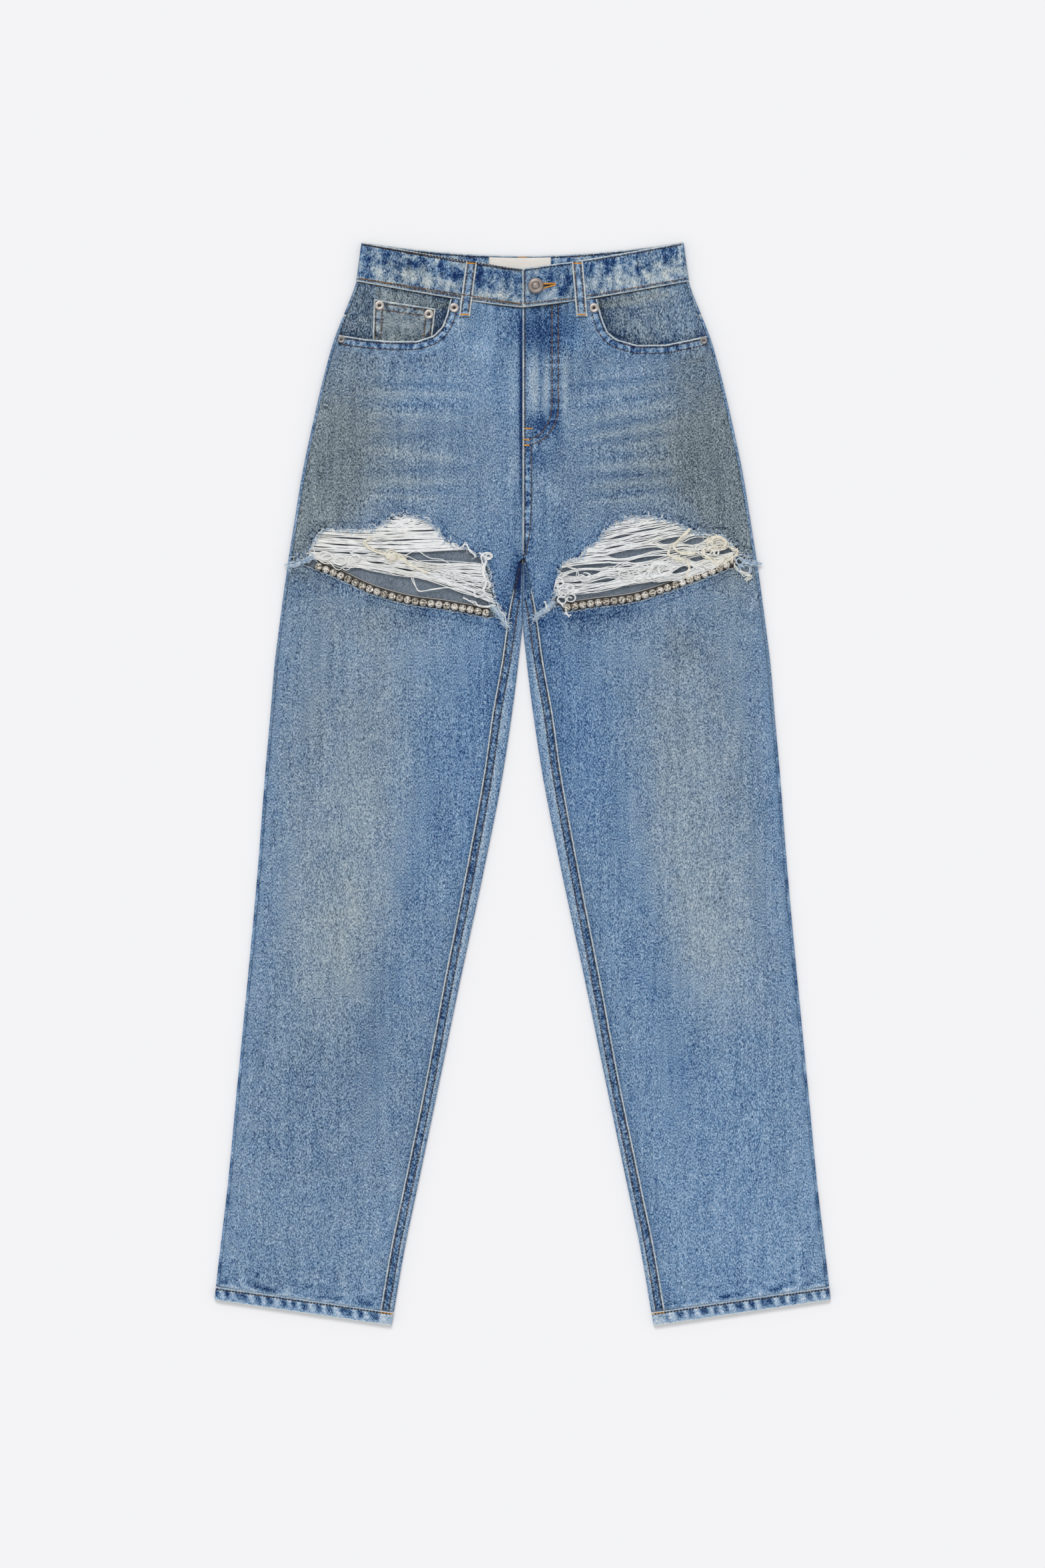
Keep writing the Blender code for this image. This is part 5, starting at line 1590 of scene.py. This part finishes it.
def lay_tape(side, name):
    """Dark tape under the crystals."""
    columns, rows = 90, 9
    mesh, i, j = lattice(f"chain_tape_dark_{name}", columns, rows, side)
    xs, ys, dx, dy = chain_places(side, columns)
    off = mix(-TAPE_BELOW, TAPE_ABOVE, j / (rows - 1))
    x, y = xs[i] - dy[i] * off, ys[i] + dx[i] * off
    marks = dict(edge=TAPE_ABOVE - off, run=x / 4)
    z = tape_height(ys[i] + dx[i] * off) + 0.15 * np.sin(x / 6) * ramp(off, 2, 6)
    obj = lay_cloth(mesh, spot(side, x, y, z), marks, (tape(),), TAPE_CLOTH, "tape", f"chain_tape_{name}")


def stone_shape():
    """A round stone: flat table, two rows of facets and a girdle."""
    bm = bmesh.new()
    bmesh.ops.create_cone(bm, cap_ends=True, segments=8, radius1=3.95, radius2=2.5, depth=1.7)
    upper = [v for v in bm.verts if v.co.z > 0]
    bmesh.ops.bevel(bm, geom=upper, offset=0.85, offset_type="OFFSET", affect="VERTICES",
                    segments=1, profile=0.5, material=-1)
    lower = [v for v in bm.verts if v.co.z < -0.8]
    bmesh.ops.bevel(bm, geom=lower, offset=0.7, offset_type="OFFSET", affect="VERTICES",
                    segments=1, profile=0.5, material=-1)
    bmesh.ops.triangulate(bm, faces=[f for f in bm.faces if len(f.verts) > 4 and f.normal.z < LEVEL_FACE])
    return new_mesh("stone", bm)


def spun(name, outline, steps):
    """A closed turned mesh from (radius, height) points, from its top to its foot."""
    bm = bmesh.new()
    verts = [bm.verts.new((r, 0, h)) for r, h in outline]
    edges = [bm.edges.new(pair) for pair in zip(verts, verts[1:])]
    bmesh.ops.spin(bm, geom=verts + edges, axis=(0, 0, 1), cent=(0, 0, 0), steps=steps,
                   angle=2 * math.pi, use_merge=True)
    bmesh.ops.remove_doubles(bm, verts=bm.verts, dist=1e-4)
    bmesh.ops.recalc_face_normals(bm, faces=bm.faces)
    return new_mesh(name, bm)


def prong_shape():
    bm = bmesh.new()
    bmesh.ops.create_uvsphere(bm, u_segments=6, v_segments=4, radius=0.55)
    return new_mesh("prong", bm)


def lay_crystals(side, name):
    """Round stones, each in a cup with four prongs."""
    rng = np.random.default_rng(60 + side)
    x, y, dx, dy = (values[1::2] for values in chain_places(side, CRYSTALS * 2 + 1))
    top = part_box(f"crystal_chain_{name}")[1].z / MM
    turns = rng.uniform(-0.25, 0.25, CRYSTALS) + np.arctan2(dy, side * dx)
    tips = rng.normal(0, 0.055, (CRYSTALS, 2))

    def set_out(z, spins, lean_too=True):
        c, s = np.cos(spins), np.sin(spins)
        zero, one = np.zeros(CRYSTALS), np.ones(CRYSTALS)
        tip = tips if lean_too else tips * 0
        axes = np.stack([np.stack([c, s, tip[:, 0]], -1), np.stack([-s, c, tip[:, 1]], -1),
                         np.stack([zero, zero, one], -1)], axis=1) * MM
        return spot(side, x, y, z), axes

    centres, axes = set_out(top - 0.85, turns)
    stones = join_copies(f"stones_{name}", stone_shape(), centres, axes)
    stones.polygons.foreach_set("use_smooth", np.zeros(len(stones.polygons), bool))
    per_stone = len(stones.polygons) // CRYSTALS
    # glint is painted reflection: a random brightness for each facet, with level table facets drawn towards
    # TABLE_GLINT.
    glint = rng.uniform(0.05, 1.1, len(stones.polygons))
    level = np.array([f.normal.z > LEVEL_FACE for f in stones.polygons])
    glint = mix(glint, TABLE_GLINT, 0.75 * level) + np.repeat(rng.normal(0, 0.1, CRYSTALS), per_stone)
    set_attribute(stones, "glint", glint, "FACE")
    add_piece(f"stones_{name}", stones, (crystal(),), "crystal", f"crystal_chain_{name}")
    cup = spun("cup", ((3.3, 2.5), (3.8, 2.4), (3.95, 1.6), (3.6, 0.2), (2.6, 0), (0, 0)), 16)
    centres, axes = set_out(top - 3.9, turns, False)
    cups = join_copies(f"cups_{name}", cup, centres, axes)
    add_piece(f"cups_{name}", cups, (aged_metal(),), "crystal")
    prong_centres, prong_axes = [], []
    for quarter in range(4):
        spin = turns + math.pi / 4 + quarter * math.pi / 2
        centres, axes = set_out(top - 1.1, turns, False)
        reach = np.stack([np.cos(spin), np.sin(spin), np.zeros(CRYSTALS)], -1) * 3.4 * MM
        prong_centres.append(centres + reach)
        prong_axes.append(axes)
    prongs = join_copies(f"prongs_{name}", prong_shape(), np.concatenate(prong_centres),
                         np.concatenate(prong_axes))
    add_piece(f"prongs_{name}", prongs, (aged_metal(),), "crystal")


def lay_turned(name, node, outline, steps, finish):
    """A turned metal piece in the place of its solid."""
    low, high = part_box(node)
    middle = (low + high) / 2
    centre = np.array([[middle.x, middle.y, low.z]])
    mesh = join_copies(name, spun("turned", outline, steps), centre, np.eye(3)[None] * MM)
    set_attribute(mesh, "radius", np.hypot(*(points_of(mesh) - centre)[:, :2].T) / MM)
    mesh.set_sharp_from_angle(angle=math.radians(50))
    add_piece(name, mesh, (finish,), "nickel", node)


BUTTON_OUTLINE = (
    (0, 4.0), (2.2, 4.0), (2.75, 3.85), (3.0, 3.55), (3.4, 3.5), (3.7, 3.85), (4.1, 4.08),
    (5.4, 4.12), (6.6, 4.0), (7.4, 3.7), (7.85, 3.2), (7.9, 2.8), (7.5, 2.35), (6.2, 2.1),
    (3.9, 1.9), (3.8, 0), (0, 0),
)
RIVET_OUTLINE = (
    (0, 1.55), (0.7, 1.5), (1.2, 1.25), (1.5, 0.8), (1.9, 0.62), (2.3, 0.75), (2.9, 1.15),
    (3.6, 1.22), (4.3, 0.98), (4.8, 0.55), (4.9, 0.2), (4.9, 0), (0, 0),
)


# Materials.


class Value:
    """A socket on which Python's operators add Math nodes."""

    def __init__(self, finish, socket):
        self.finish, self.socket = finish, socket

    def _math(self, operation, *values):
        inputs = dict(enumerate(values))
        return self.finish.node("ShaderNodeMath", {"operation": operation}, inputs)

    def __add__(self, other):
        return self._math("ADD", self, other)

    __radd__ = __add__

    def __sub__(self, other):
        return self._math("SUBTRACT", self, other)

    def __rsub__(self, other):
        return self._math("SUBTRACT", other, self)

    def __mul__(self, other):
        return self._math("MULTIPLY", self, other)

    __rmul__ = __mul__

    def sine(self):
        return self._math("SINE", self)

    def clamped(self, low=0.0, high=1.0):
        return self.finish.node("ShaderNodeClamp", {}, {0: self, "Min": low, "Max": high})

    def ramp(self, start, stop):
        """0 at start, 1 at stop, and a soft step between."""
        return self.finish.node(
            "ShaderNodeMapRange", {"interpolation_type": "SMOOTHSTEP"},
            {"Value": self, "From Min": start, "From Max": stop},
        )


class Finish:
    """A material, its shader and the nodes that feed it."""

    def __init__(self, name, roughness=0.8, metallic=0.0, **constants):
        self.material = bpy.data.materials.new(name)
        self.material.use_nodes = True
        self.tree = self.material.node_tree
        self.shader = self.tree.nodes["Principled BSDF"]
        self.set("Roughness", roughness)
        self.set("Metallic", metallic)
        for socket, value in constants.items():
            self.set(socket.replace("_", " "), value)

    def set(self, socket, value):
        self._feed(self.shader.inputs[socket], value)

    def _feed(self, socket, value):
        if isinstance(value, Value):
            self.tree.links.new(value.socket, socket)
        else:
            socket.default_value = value

    def node(self, kind, settings=None, inputs=None, output=0):
        made = self.tree.nodes.new(kind)
        for key, value in (settings or {}).items():
            if key == "stops":
                self._set_stops(made.color_ramp, value)
            else:
                setattr(made, key, value)
        for key, value in (inputs or {}).items():
            self._feed(made.inputs[key], value)
        return Value(self, made.outputs[output])

    def _set_stops(self, ramp, stops):
        while len(ramp.elements) < len(stops):
            ramp.elements.new(1.0)
        for element, (place, colour) in zip(ramp.elements, stops):
            element.position = place
            element.color = (*colour, 1.0)

    def attribute(self, name):
        return self.node("ShaderNodeAttribute", {"attribute_name": name}, output="Fac")

    def places(self):
        return self.node("ShaderNodeTexCoord", output="Object")

    def noise(self, scale, stretch=(1, 1, 1), detail=1.0, places=None):
        """Noise about 0, with a feature for each 1/scale metres."""
        at = self.node("ShaderNodeMapping", {}, {"Vector": places or self.places(), "Scale": stretch})
        found = self.node("ShaderNodeTexNoise", {"noise_dimensions": "3D"},
                          {"Vector": at, "Scale": scale, "Detail": detail, "Roughness": 0.6})
        return found - 0.5

    def colours(self, value, stops):
        return self.node("ShaderNodeValToRGB", {"stops": stops}, {"Fac": value})

    def blend(self, share, first, second):
        made = self.tree.nodes.new("ShaderNodeMix")
        made.data_type = "RGBA"
        sockets = [s for s in made.inputs if s.enabled]
        for socket, value in zip(sockets, (share, first, second)):
            self._feed(socket, value)
        return Value(self, next(s for s in made.outputs if s.enabled))

    def bump(self, height, strength=0.5):
        """Relief from a height in millimetres."""
        self.set("Normal", self.node("ShaderNodeBump", {},
                                     {"Strength": strength, "Distance": MM, "Height": height}))


TOP_LEVEL = 0.7  # the level at the last stop of a denim ramp
INDIGO = (
    (0.0, (0.004, 0.020, 0.100)), (0.08, (0.007, 0.045, 0.150)), (0.15, (0.038, 0.110, 0.250)),
    (0.26, (0.086, 0.190, 0.360)), (0.39, (0.156, 0.285, 0.471)), (0.60, (0.294, 0.442, 0.636)),
    (0.80, (0.495, 0.595, 0.706)), (1.0, (0.700, 0.740, 0.760)),
)
GREY_GREEN = (
    (0.0, (0.010, 0.018, 0.030)), (0.10, (0.050, 0.075, 0.092)), (0.21, (0.118, 0.155, 0.180)),
    (0.35, (0.202, 0.250, 0.282)), (0.57, (0.345, 0.412, 0.452)), (0.78, (0.500, 0.560, 0.580)),
    (1.0, (0.680, 0.700, 0.680)),
)
WRONG_SIDE = (
    (0.0, (0.020, 0.030, 0.045)), (0.2, (0.075, 0.098, 0.130)), (0.4, (0.174, 0.219, 0.272)),
    (0.7, (0.380, 0.420, 0.470)), (1.0, (0.600, 0.620, 0.640)),
)


def once(build):
    """Makes a material on its first use and finds it again later."""

    def found():
        name = f"{build.__name__}_finish"
        return bpy.data.materials.get(name) or build(name)

    return found


def weave(finish, ribbed, uneven):
    """The twill's slanting ribs, the yarn's uneven dye and its streaks, about 0."""
    x, y, z = (finish.node("ShaderNodeSeparateXYZ", {}, {0: finish.places()}, k) for k in range(3))
    period = looks().twill_pitch * math.sqrt(2)
    ribs = ((x - y + z) * (2 * math.pi / period)).sine()
    yarn = finish.noise(980, (1.5, 0.62, 1.0), 1.5)
    slubs = finish.noise(420, (1.4, 0.7, 1.0), 1.0)
    streaks = finish.noise(260, (1.0, 0.05, 1.0), 0.0)
    level = ribs * ribbed + (yarn * 0.98 + slubs * 0.10 + streaks * 0.07) * uneven
    return level, ribs * 0.05 + yarn * 0.35


def dapples(finish):
    """Puckers along a seam, from -1 to 1."""
    run = finish.attribute("run")
    at = finish.node("ShaderNodeCombineXYZ", {}, {0: run, 1: finish.attribute("edge") * 0.13})
    wave = finish.node("ShaderNodeTexNoise", {"noise_dimensions": "3D"},
                       {"Vector": at, "Scale": 1.0, "Detail": 0.0})
    return ((wave - 0.5) * 5.0).clamped(-1, 1)


@once
def denim(name):
    """Washed indigo twill with pale seam edges, dark puckers beside them and painted shade along the stitch
    rows.
    """
    finish = Finish(name, 0.88, Specular_IOR_Level=0.2)
    woven, relief = weave(finish, 0.07, 1.55)
    edge, pucker = finish.attribute("edge"), finish.attribute("pucker")
    wash, cast = finish.attribute("wash"), finish.attribute("cast")
    wave = dapples(finish)
    mottled = finish.noise(60, (1, 0.8, 1), 2.0)
    flecks = finish.noise(620, (1.2, 0.8, 1.0), 0.0)
    blots = (finish.noise(110, (1, 0.85, 1), 2.0) * 4.0).clamped(-1, 1) * finish.attribute("blotch")
    ridge = 1 - edge.ramp(0.8, 1.8)
    # groove_dip_and_shade and second darken the cloth along the two stitch rows beside a seam edge: painted
    # shade in the rows' grooves; groove_dip_and_shade also sinks the relief.
    groove_dip_and_shade = edge.ramp(1.4, 2.0) * (1 - edge.ramp(2.9, 3.8))
    second = edge.ramp(7.6, 8.3) * (1 - edge.ramp(9.2, 10.2))
    folds = pucker * (wave * 0.19 - 0.02)
    ragged = ridge * (0.33 + finish.noise(180, detail=1.0) * 0.6)
    level = (looks().depth + wash + woven * (1 - ridge * 0.5) + mottled * 0.10 + blots * 0.10
             + folds * (1 - ridge) + ragged - groove_dip_and_shade * 0.10 - second * 0.06) * (1 / TOP_LEVEL)
    hue = (cast * 0.8 + 0.2 + flecks * 0.6 + mottled * 0.4 - pucker * 0.2 + blots * 0.2
           + ridge * 0.6).clamped()
    finish.set("Base Color", finish.blend(hue, finish.colours(level, INDIGO),
                                          finish.colours(level, GREY_GREEN)))
    finish.set("Roughness", (0.88 - ridge * 0.1 + woven * 0.25).clamped(0.7, 0.98))
    finish.bump(relief + ridge * 0.55 + pucker * wave * 0.4 + mottled * 0.3 - groove_dip_and_shade * 0.3, 0.55)
    return finish.material


@once
def denim_inside(name):
    """Wrong side of the twill, where the undyed weft shows."""
    finish = Finish(name, 0.9, Specular_IOR_Level=0.2)
    woven, relief = weave(finish, 0.055, 0.62)
    wash = finish.attribute("wash")
    level = (0.282 + wash * 0.9 + woven + finish.noise(40) * 0.14) * (1 / TOP_LEVEL)
    finish.set("Base Color", finish.colours(level, WRONG_SIDE))
    finish.bump(relief, 0.6)
    return finish.material


@once
def label_cloth(name):
    """Bare off-white satin, slightly rubbed."""
    finish = Finish(name, 0.55)
    ribs = finish.noise(900, (0.12, 1, 1), 1.0)
    soil = finish.noise(45, detail=3.0)
    level = (0.62 + ribs * 0.5 + soil * 0.6).clamped()
    finish.set("Base Color", finish.colours(level, ((0, (0.62, 0.57, 0.52)), (1, (0.86, 0.82, 0.78)))))
    finish.bump(ribs * 0.3 + soil * 0.4, 0.4)
    return finish.material


@once
def sewing_thread(name):
    """Twisted thread whose tone goes from dark brown through ochre to orange."""
    finish = Finish(name, 0.75, Specular_IOR_Level=0.2)
    tone = (finish.attribute("tone") + finish.noise(500, detail=1.0) * 0.35).clamped()
    stops = ((0, (0.020, 0.018, 0.022)), (0.2, (0.075, 0.052, 0.038)), (0.42, (0.200, 0.120, 0.058)),
             (0.65, (0.400, 0.180, 0.050)), (0.9, (0.760, 0.330, 0.040)), (1, (0.860, 0.450, 0.080)))
    finish.set("Base Color", finish.colours(tone, stops))
    finish.bump(finish.noise(2400, (1, 1, 1), 0.0) * 0.3, 0.5)
    return finish.material


def spun_cotton(name, stops, scale=260, creamed=None):
    finish = Finish(name, 0.85, Specular_IOR_Level=0.25)
    tone = (finish.noise(scale, detail=2.0) * 1.5 + 0.5).clamped()
    colour = finish.colours(tone, stops)
    if creamed:
        x = finish.node("ShaderNodeSeparateXYZ", {}, {"Vector": finish.places()}, 0)
        share = (x * x * 16 + finish.noise(38, (0.4, 1.6, 1)) * 1.8 - 0.1).clamped() * 0.75
        colour = finish.blend(share, colour, finish.colours(tone, creamed))
    finish.set("Base Color", colour)
    finish.bump(finish.noise(2600, (0.5, 1, 1), 1.0) * 0.35, 0.6)
    return finish.material


@once
def cotton(name):
    return spun_cotton(name, ((0, (0.72, 0.75, 0.79)), (0.5, (0.92, 0.93, 0.935)), (1, (0.97, 0.975, 0.975))),
                       creamed=((0, (0.66, 0.63, 0.53)), (0.5, (0.88, 0.86, 0.77)), (1, (0.95, 0.94, 0.88))))


@once
def cotton_yellowed(name):
    return spun_cotton(name, ((0, (0.68, 0.62, 0.48)), (0.5, (0.86, 0.82, 0.71)), (1, (0.94, 0.925, 0.87))))


@once
def cotton_frayed(name):
    stops = ((0, (0.10, 0.22, 0.42)), (0.4, (0.40, 0.54, 0.70)), (0.7, (0.72, 0.78, 0.82)),
             (1, (0.86, 0.87, 0.86)))
    return spun_cotton(name, stops, 420)


@once
def blue_fibre(name):
    stops = ((0, (0.040, 0.12, 0.30)), (0.35, (0.22, 0.37, 0.58)), (0.6, (0.52, 0.65, 0.78)),
             (1, (0.82, 0.86, 0.90)))
    return spun_cotton(name, stops, 420)


@once
def tape(name):
    """Dark woven tape with a thin pale edge."""
    finish = Finish(name, 0.9)
    grain = finish.noise(1100, (1, 1, 1), 1.0)
    level = ((1 - finish.attribute("edge").ramp(0.5, 1.1)) * 0.62 + grain * 0.35 + 0.2).clamped()
    stops = ((0, (0.012, 0.011, 0.012)), (0.3, (0.075, 0.066, 0.058)), (1, (0.50, 0.49, 0.47)))
    finish.set("Base Color", finish.colours(level, stops))
    finish.bump(grain * 0.6, 0.6)
    return finish.material


@once
def crystal(name):
    """Stone with painted reflections: each facet has its own painted brightness from glint."""
    finish = Finish(name, 0.12, 0.55, Coat_Weight=0.5)
    glint = (finish.attribute("glint") + finish.noise(620, detail=0.0) * 1.7).clamped()
    stops = ((0, (0.05, 0.04, 0.03)), (0.25, (0.24, 0.20, 0.15)), (0.48, (0.50, 0.45, 0.37)),
             (0.7, (0.84, 0.80, 0.73)), (1, (1.0, 0.99, 0.96)))
    finish.set("Base Color", finish.colours(glint, stops))
    return finish.material


@once
def aged_metal(name):
    """Brown-grey metal of the stones' cups."""
    finish = Finish(name, 0.35, 1.0)
    worn = (finish.noise(500, detail=2.0) * 2.2 + 0.55).clamped()
    finish.set("Base Color", finish.colours(worn, ((0, (0.09, 0.075, 0.065)), (1, (0.78, 0.71, 0.63)))))
    return finish.material


def plated(name, bright, dark, dark_radii, dim):
    """Brushed plated metal, darker between the two radii in dark_radii."""
    finish = Finish(name, 0.36, 1.0)
    radius = finish.attribute("radius")
    rubbed = finish.noise(420, detail=3.0)
    inside = radius.ramp(dark_radii[0] - 0.25, dark_radii[0]) * (1 - radius.ramp(dark_radii[1], dark_radii[1] + 0.3))
    rings = (radius * (2 * math.pi / 0.32)).sine()
    level = (0.72 - inside * dim + rubbed * 0.9 + rings * 0.05).clamped()
    finish.set("Base Color", finish.colours(level, ((0, dark), (1, bright))))
    finish.set("Roughness", (0.40 + rubbed * 0.5).clamped(0.2, 0.7))
    finish.bump(rings * 0.04 + rubbed * 0.15, 0.4)
    return finish.material


@once
def button_metal(name):
    return plated(name, (0.43, 0.37, 0.34), (0.08, 0.066, 0.06), (3.7, 4.2), 0.5)


@once
def rivet_metal(name):
    return plated(name, (0.80, 0.735, 0.69), (0.07, 0.058, 0.055), (0.0, 1.7), 0.75)


@once
def rivet_metal_dark(name):
    return plated(name, (0.42, 0.40, 0.40), (0.06, 0.06, 0.065), (0.0, 1.5), 0.5)


@once
def studio_floor(name):
    finish = Finish(name, 0.9, Specular_IOR_Level=0.0)
    finish.set("Base Color", (*bpy.context.scene.jeans_studio.floor_colour, 1))
    return finish.material


# The add-on.


def looks():
    return bpy.context.scene.jeans


class JeansLooks(bpy.types.PropertyGroup):
    """Sizes and colours that change the whole garment."""

    depth: FloatProperty(
        name="Denim paleness", description="How pale the washed denim is", default=0.262,
        min=0.05, max=0.6, subtype="FACTOR",
    )
    twill_pitch: FloatProperty(
        name="Twill pitch", description="Distance from one slanting rib to the next",
        default=0.00123, min=0.0005, max=0.004, precision=5, unit="LENGTH",
    )


class JeansStudio(bpy.types.PropertyGroup):
    """The camera, lights and floor."""

    view_length: FloatProperty(
        name="View length", description="Length of the floor that the picture shows",
        default=1.599, unit="LENGTH",
    )
    camera_height: FloatProperty(
        name="Camera height", description="Height of the camera over the garment", default=5.0,
        unit="LENGTH",
    )
    floor_colour: FloatVectorProperty(
        name="Floor", description="Colour of the floor", default=(0.93, 0.93, 0.946),
        subtype="COLOR", size=3,
    )
    sky: FloatProperty(
        name="Sky", description="Strength of the even light from all round", default=0.70,
    )
    sun: FloatProperty(
        name="Sun", description="Strength of the soft light from the waist's side", default=1.05,
    )
    sun_softness: FloatProperty(
        name="Softness", description="Size of the sun in the sky", default=math.radians(24),
        subtype="ANGLE",
    )


class JeansOperator(bpy.types.Operator):
    """Base of the operators that build the garment."""

    bl_options = {"REGISTER", "UNDO"}

    def execute(self, context):
        self.build()
        return {"FINISHED"}


class BothLegs(JeansOperator):
    """Base of the operators that build the same pieces on both legs."""

    def build(self):
        for side, name in SIDES:
            for lay in self.pieces:
                lay(side, name)


class JEANS_OT_stage(JeansOperator):
    """Adds the floor, the lights and the camera"""

    bl_idname = "jeans.stage"
    bl_label = "Stage"

    def build(self):
        studio = bpy.context.scene.jeans_studio
        bm = bmesh.new()
        bmesh.ops.create_grid(bm, x_segments=1, y_segments=1, size=FLOOR_HALF)
        bmesh.ops.translate(bm, verts=bm.verts, vec=(0, 0, -FLOOR_DROP * MM))
        floor = new_object("studio_floor", new_mesh("studio_floor", bm))
        floor.data.materials.append(studio_floor())
        world = bpy.data.worlds.new("studio")
        world.use_nodes = True
        sky = world.node_tree.nodes["Background"].inputs
        sky["Color"].default_value = (1, 1, 1, 1)
        sky["Strength"].default_value = studio.sky
        bpy.context.scene.world = world
        lamp = bpy.data.lights.new("soft_sun", "SUN")
        lamp.energy, lamp.angle = studio.sun, studio.sun_softness
        light = new_object("soft_sun", lamp)
        light.rotation_euler = SUN_TILT
        view = bpy.data.cameras.new("view")
        view.sensor_width = 36
        view.lens = view.sensor_width * studio.camera_height / studio.view_length
        view.clip_end = 100
        camera = new_object("view", view)
        camera.location = (0, 0, studio.camera_height)
        bpy.context.scene.camera = camera
        bpy.context.scene.view_settings.view_transform = "Standard"


class JEANS_OT_backs(BothLegs):
    """Adds the backs, the yokes and the back pockets"""

    bl_idname = "jeans.backs"
    bl_label = "Backs"
    pieces = (lay_back, lay_yoke, lay_back_pocket)


class JEANS_OT_fronts(BothLegs):
    """Adds the upper and lower fronts"""

    bl_idname = "jeans.fronts"
    bl_label = "Fronts"
    pieces = (lay_upper_front, lay_lower_front)


class JEANS_OT_hems(BothLegs):
    """Adds the turned-up hems"""

    bl_idname = "jeans.hems"
    bl_label = "Hems"
    pieces = (lay_hem,)


class JEANS_OT_waistband(JeansOperator):
    """Adds the waistband and its blank label"""

    bl_idname = "jeans.waistband"
    bl_label = "Waistband"

    def build(self):
        lay_waistband()
        lay_label()


class JEANS_OT_belt_loops(JeansOperator):
    """Adds the five belt loops"""

    bl_idname = "jeans.belt_loops"
    bl_label = "Belt loops"

    def build(self):
        for side, name in SIDES:
            lay_loop(f"belt_loop_front_{name}", side, lambda u, v: front_loop_point(side, u, v))
        for name in ("right", "centre", "left"):
            low, high = (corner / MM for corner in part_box(f"belt_loop_back_{name}"))

            def under(u, v):
                x = mix(low.x, high.x, u)
                y = mix(high.y, low.y, v) + LENGTH / 2
                return x, y, np.full(np.shape(x), CLOTH / 2 + 0.25)

            lay_loop(f"belt_loop_back_{name}", 1, under, under=True)


class JEANS_OT_front_pockets(JeansOperator):
    """Adds the pocket facings and the coin pocket"""

    bl_idname = "jeans.front_pockets"
    bl_label = "Front pockets"

    def build(self):
        for side, name in SIDES:
            lay_facing(side, name)
        lay_coin_pocket()


class JEANS_OT_stitching(JeansOperator):
    """Adds the rows of stitches, the bar tacks and the buttonhole"""

    bl_idname = "jeans.stitching"
    bl_label = "Stitching"

    def build(self):
        sew("stitching_waist", waist_rows(), 1)
        sew("stitching_fronts", front_rows(), 2)
        sew("stitching_legs", leg_rows(), 3)
        sew("stitching_back", back_rows(), 4)
        sew("bar_tacks", tack_rows(), 5)
        sew("buttonhole", buttonhole_rows(), 6)


class JEANS_OT_rips(BothLegs):
    """Adds the torn threads, the frayed ends and the fuzz of both rips"""

    bl_idname = "jeans.rips"
    bl_label = "Rips"
    pieces = (lay_rip,)


class JEANS_OT_crystals(BothLegs):
    """Adds the tapes and their strings of stones"""

    bl_idname = "jeans.crystals"
    bl_label = "Crystals"
    pieces = (lay_tape, lay_crystals)


class JEANS_OT_hardware(JeansOperator):
    """Adds the button and the rivets"""

    bl_idname = "jeans.hardware"
    bl_label = "Button and rivets"

    def build(self):
        lay_turned("shank_button", "button", BUTTON_OUTLINE, 40, button_metal())
        for place in ("coin_outer", "coin_inner", "inner_right", "inner_left"):
            lay_turned(f"rivet_bright_{place}", f"rivet_{place}", RIVET_OUTLINE, 28, rivet_metal())
        for place in ("outer_right", "outer_left"):
            small = [(0.78 * r, 0.78 * h) for r, h in RIVET_OUTLINE]
            lay_turned(f"rivet_dark_{place}", f"rivet_{place}", small, 28, rivet_metal_dark())


OPERATORS = (
    JEANS_OT_stage, JEANS_OT_backs, JEANS_OT_fronts, JEANS_OT_hems, JEANS_OT_waistband,
    JEANS_OT_belt_loops, JEANS_OT_front_pockets, JEANS_OT_stitching, JEANS_OT_rips,
    JEANS_OT_crystals, JEANS_OT_hardware,
)


class JEANS_PT_panel(bpy.types.Panel):
    """Lists the garment's settings and pieces"""

    bl_label = "Ripped jeans"
    bl_idname = "JEANS_PT_panel"
    bl_space_type = "VIEW_3D"
    bl_region_type = "UI"
    bl_category = "Jeans"

    def draw(self, context):
        layout = self.layout
        for group in (context.scene.jeans, context.scene.jeans_studio):
            for name in group.__annotations__:
                layout.prop(group, name)
        for operator in OPERATORS:
            layout.operator(operator.bl_idname)


CLASSES = (JeansLooks, JeansStudio, *OPERATORS, JEANS_PT_panel)


def register():
    for cls in CLASSES:
        bpy.utils.register_class(cls)
    bpy.types.Scene.jeans = PointerProperty(type=JeansLooks)
    bpy.types.Scene.jeans_studio = PointerProperty(type=JeansStudio)


def unregister():
    del bpy.types.Scene.jeans_studio
    del bpy.types.Scene.jeans
    for cls in reversed(CLASSES):
        bpy.utils.unregister_class(cls)


def main():
    register()
    for operator in OPERATORS:
        group, name = operator.bl_idname.split(".")
        getattr(getattr(bpy.ops, group), name)()


if __name__ == "__main__":
    main()
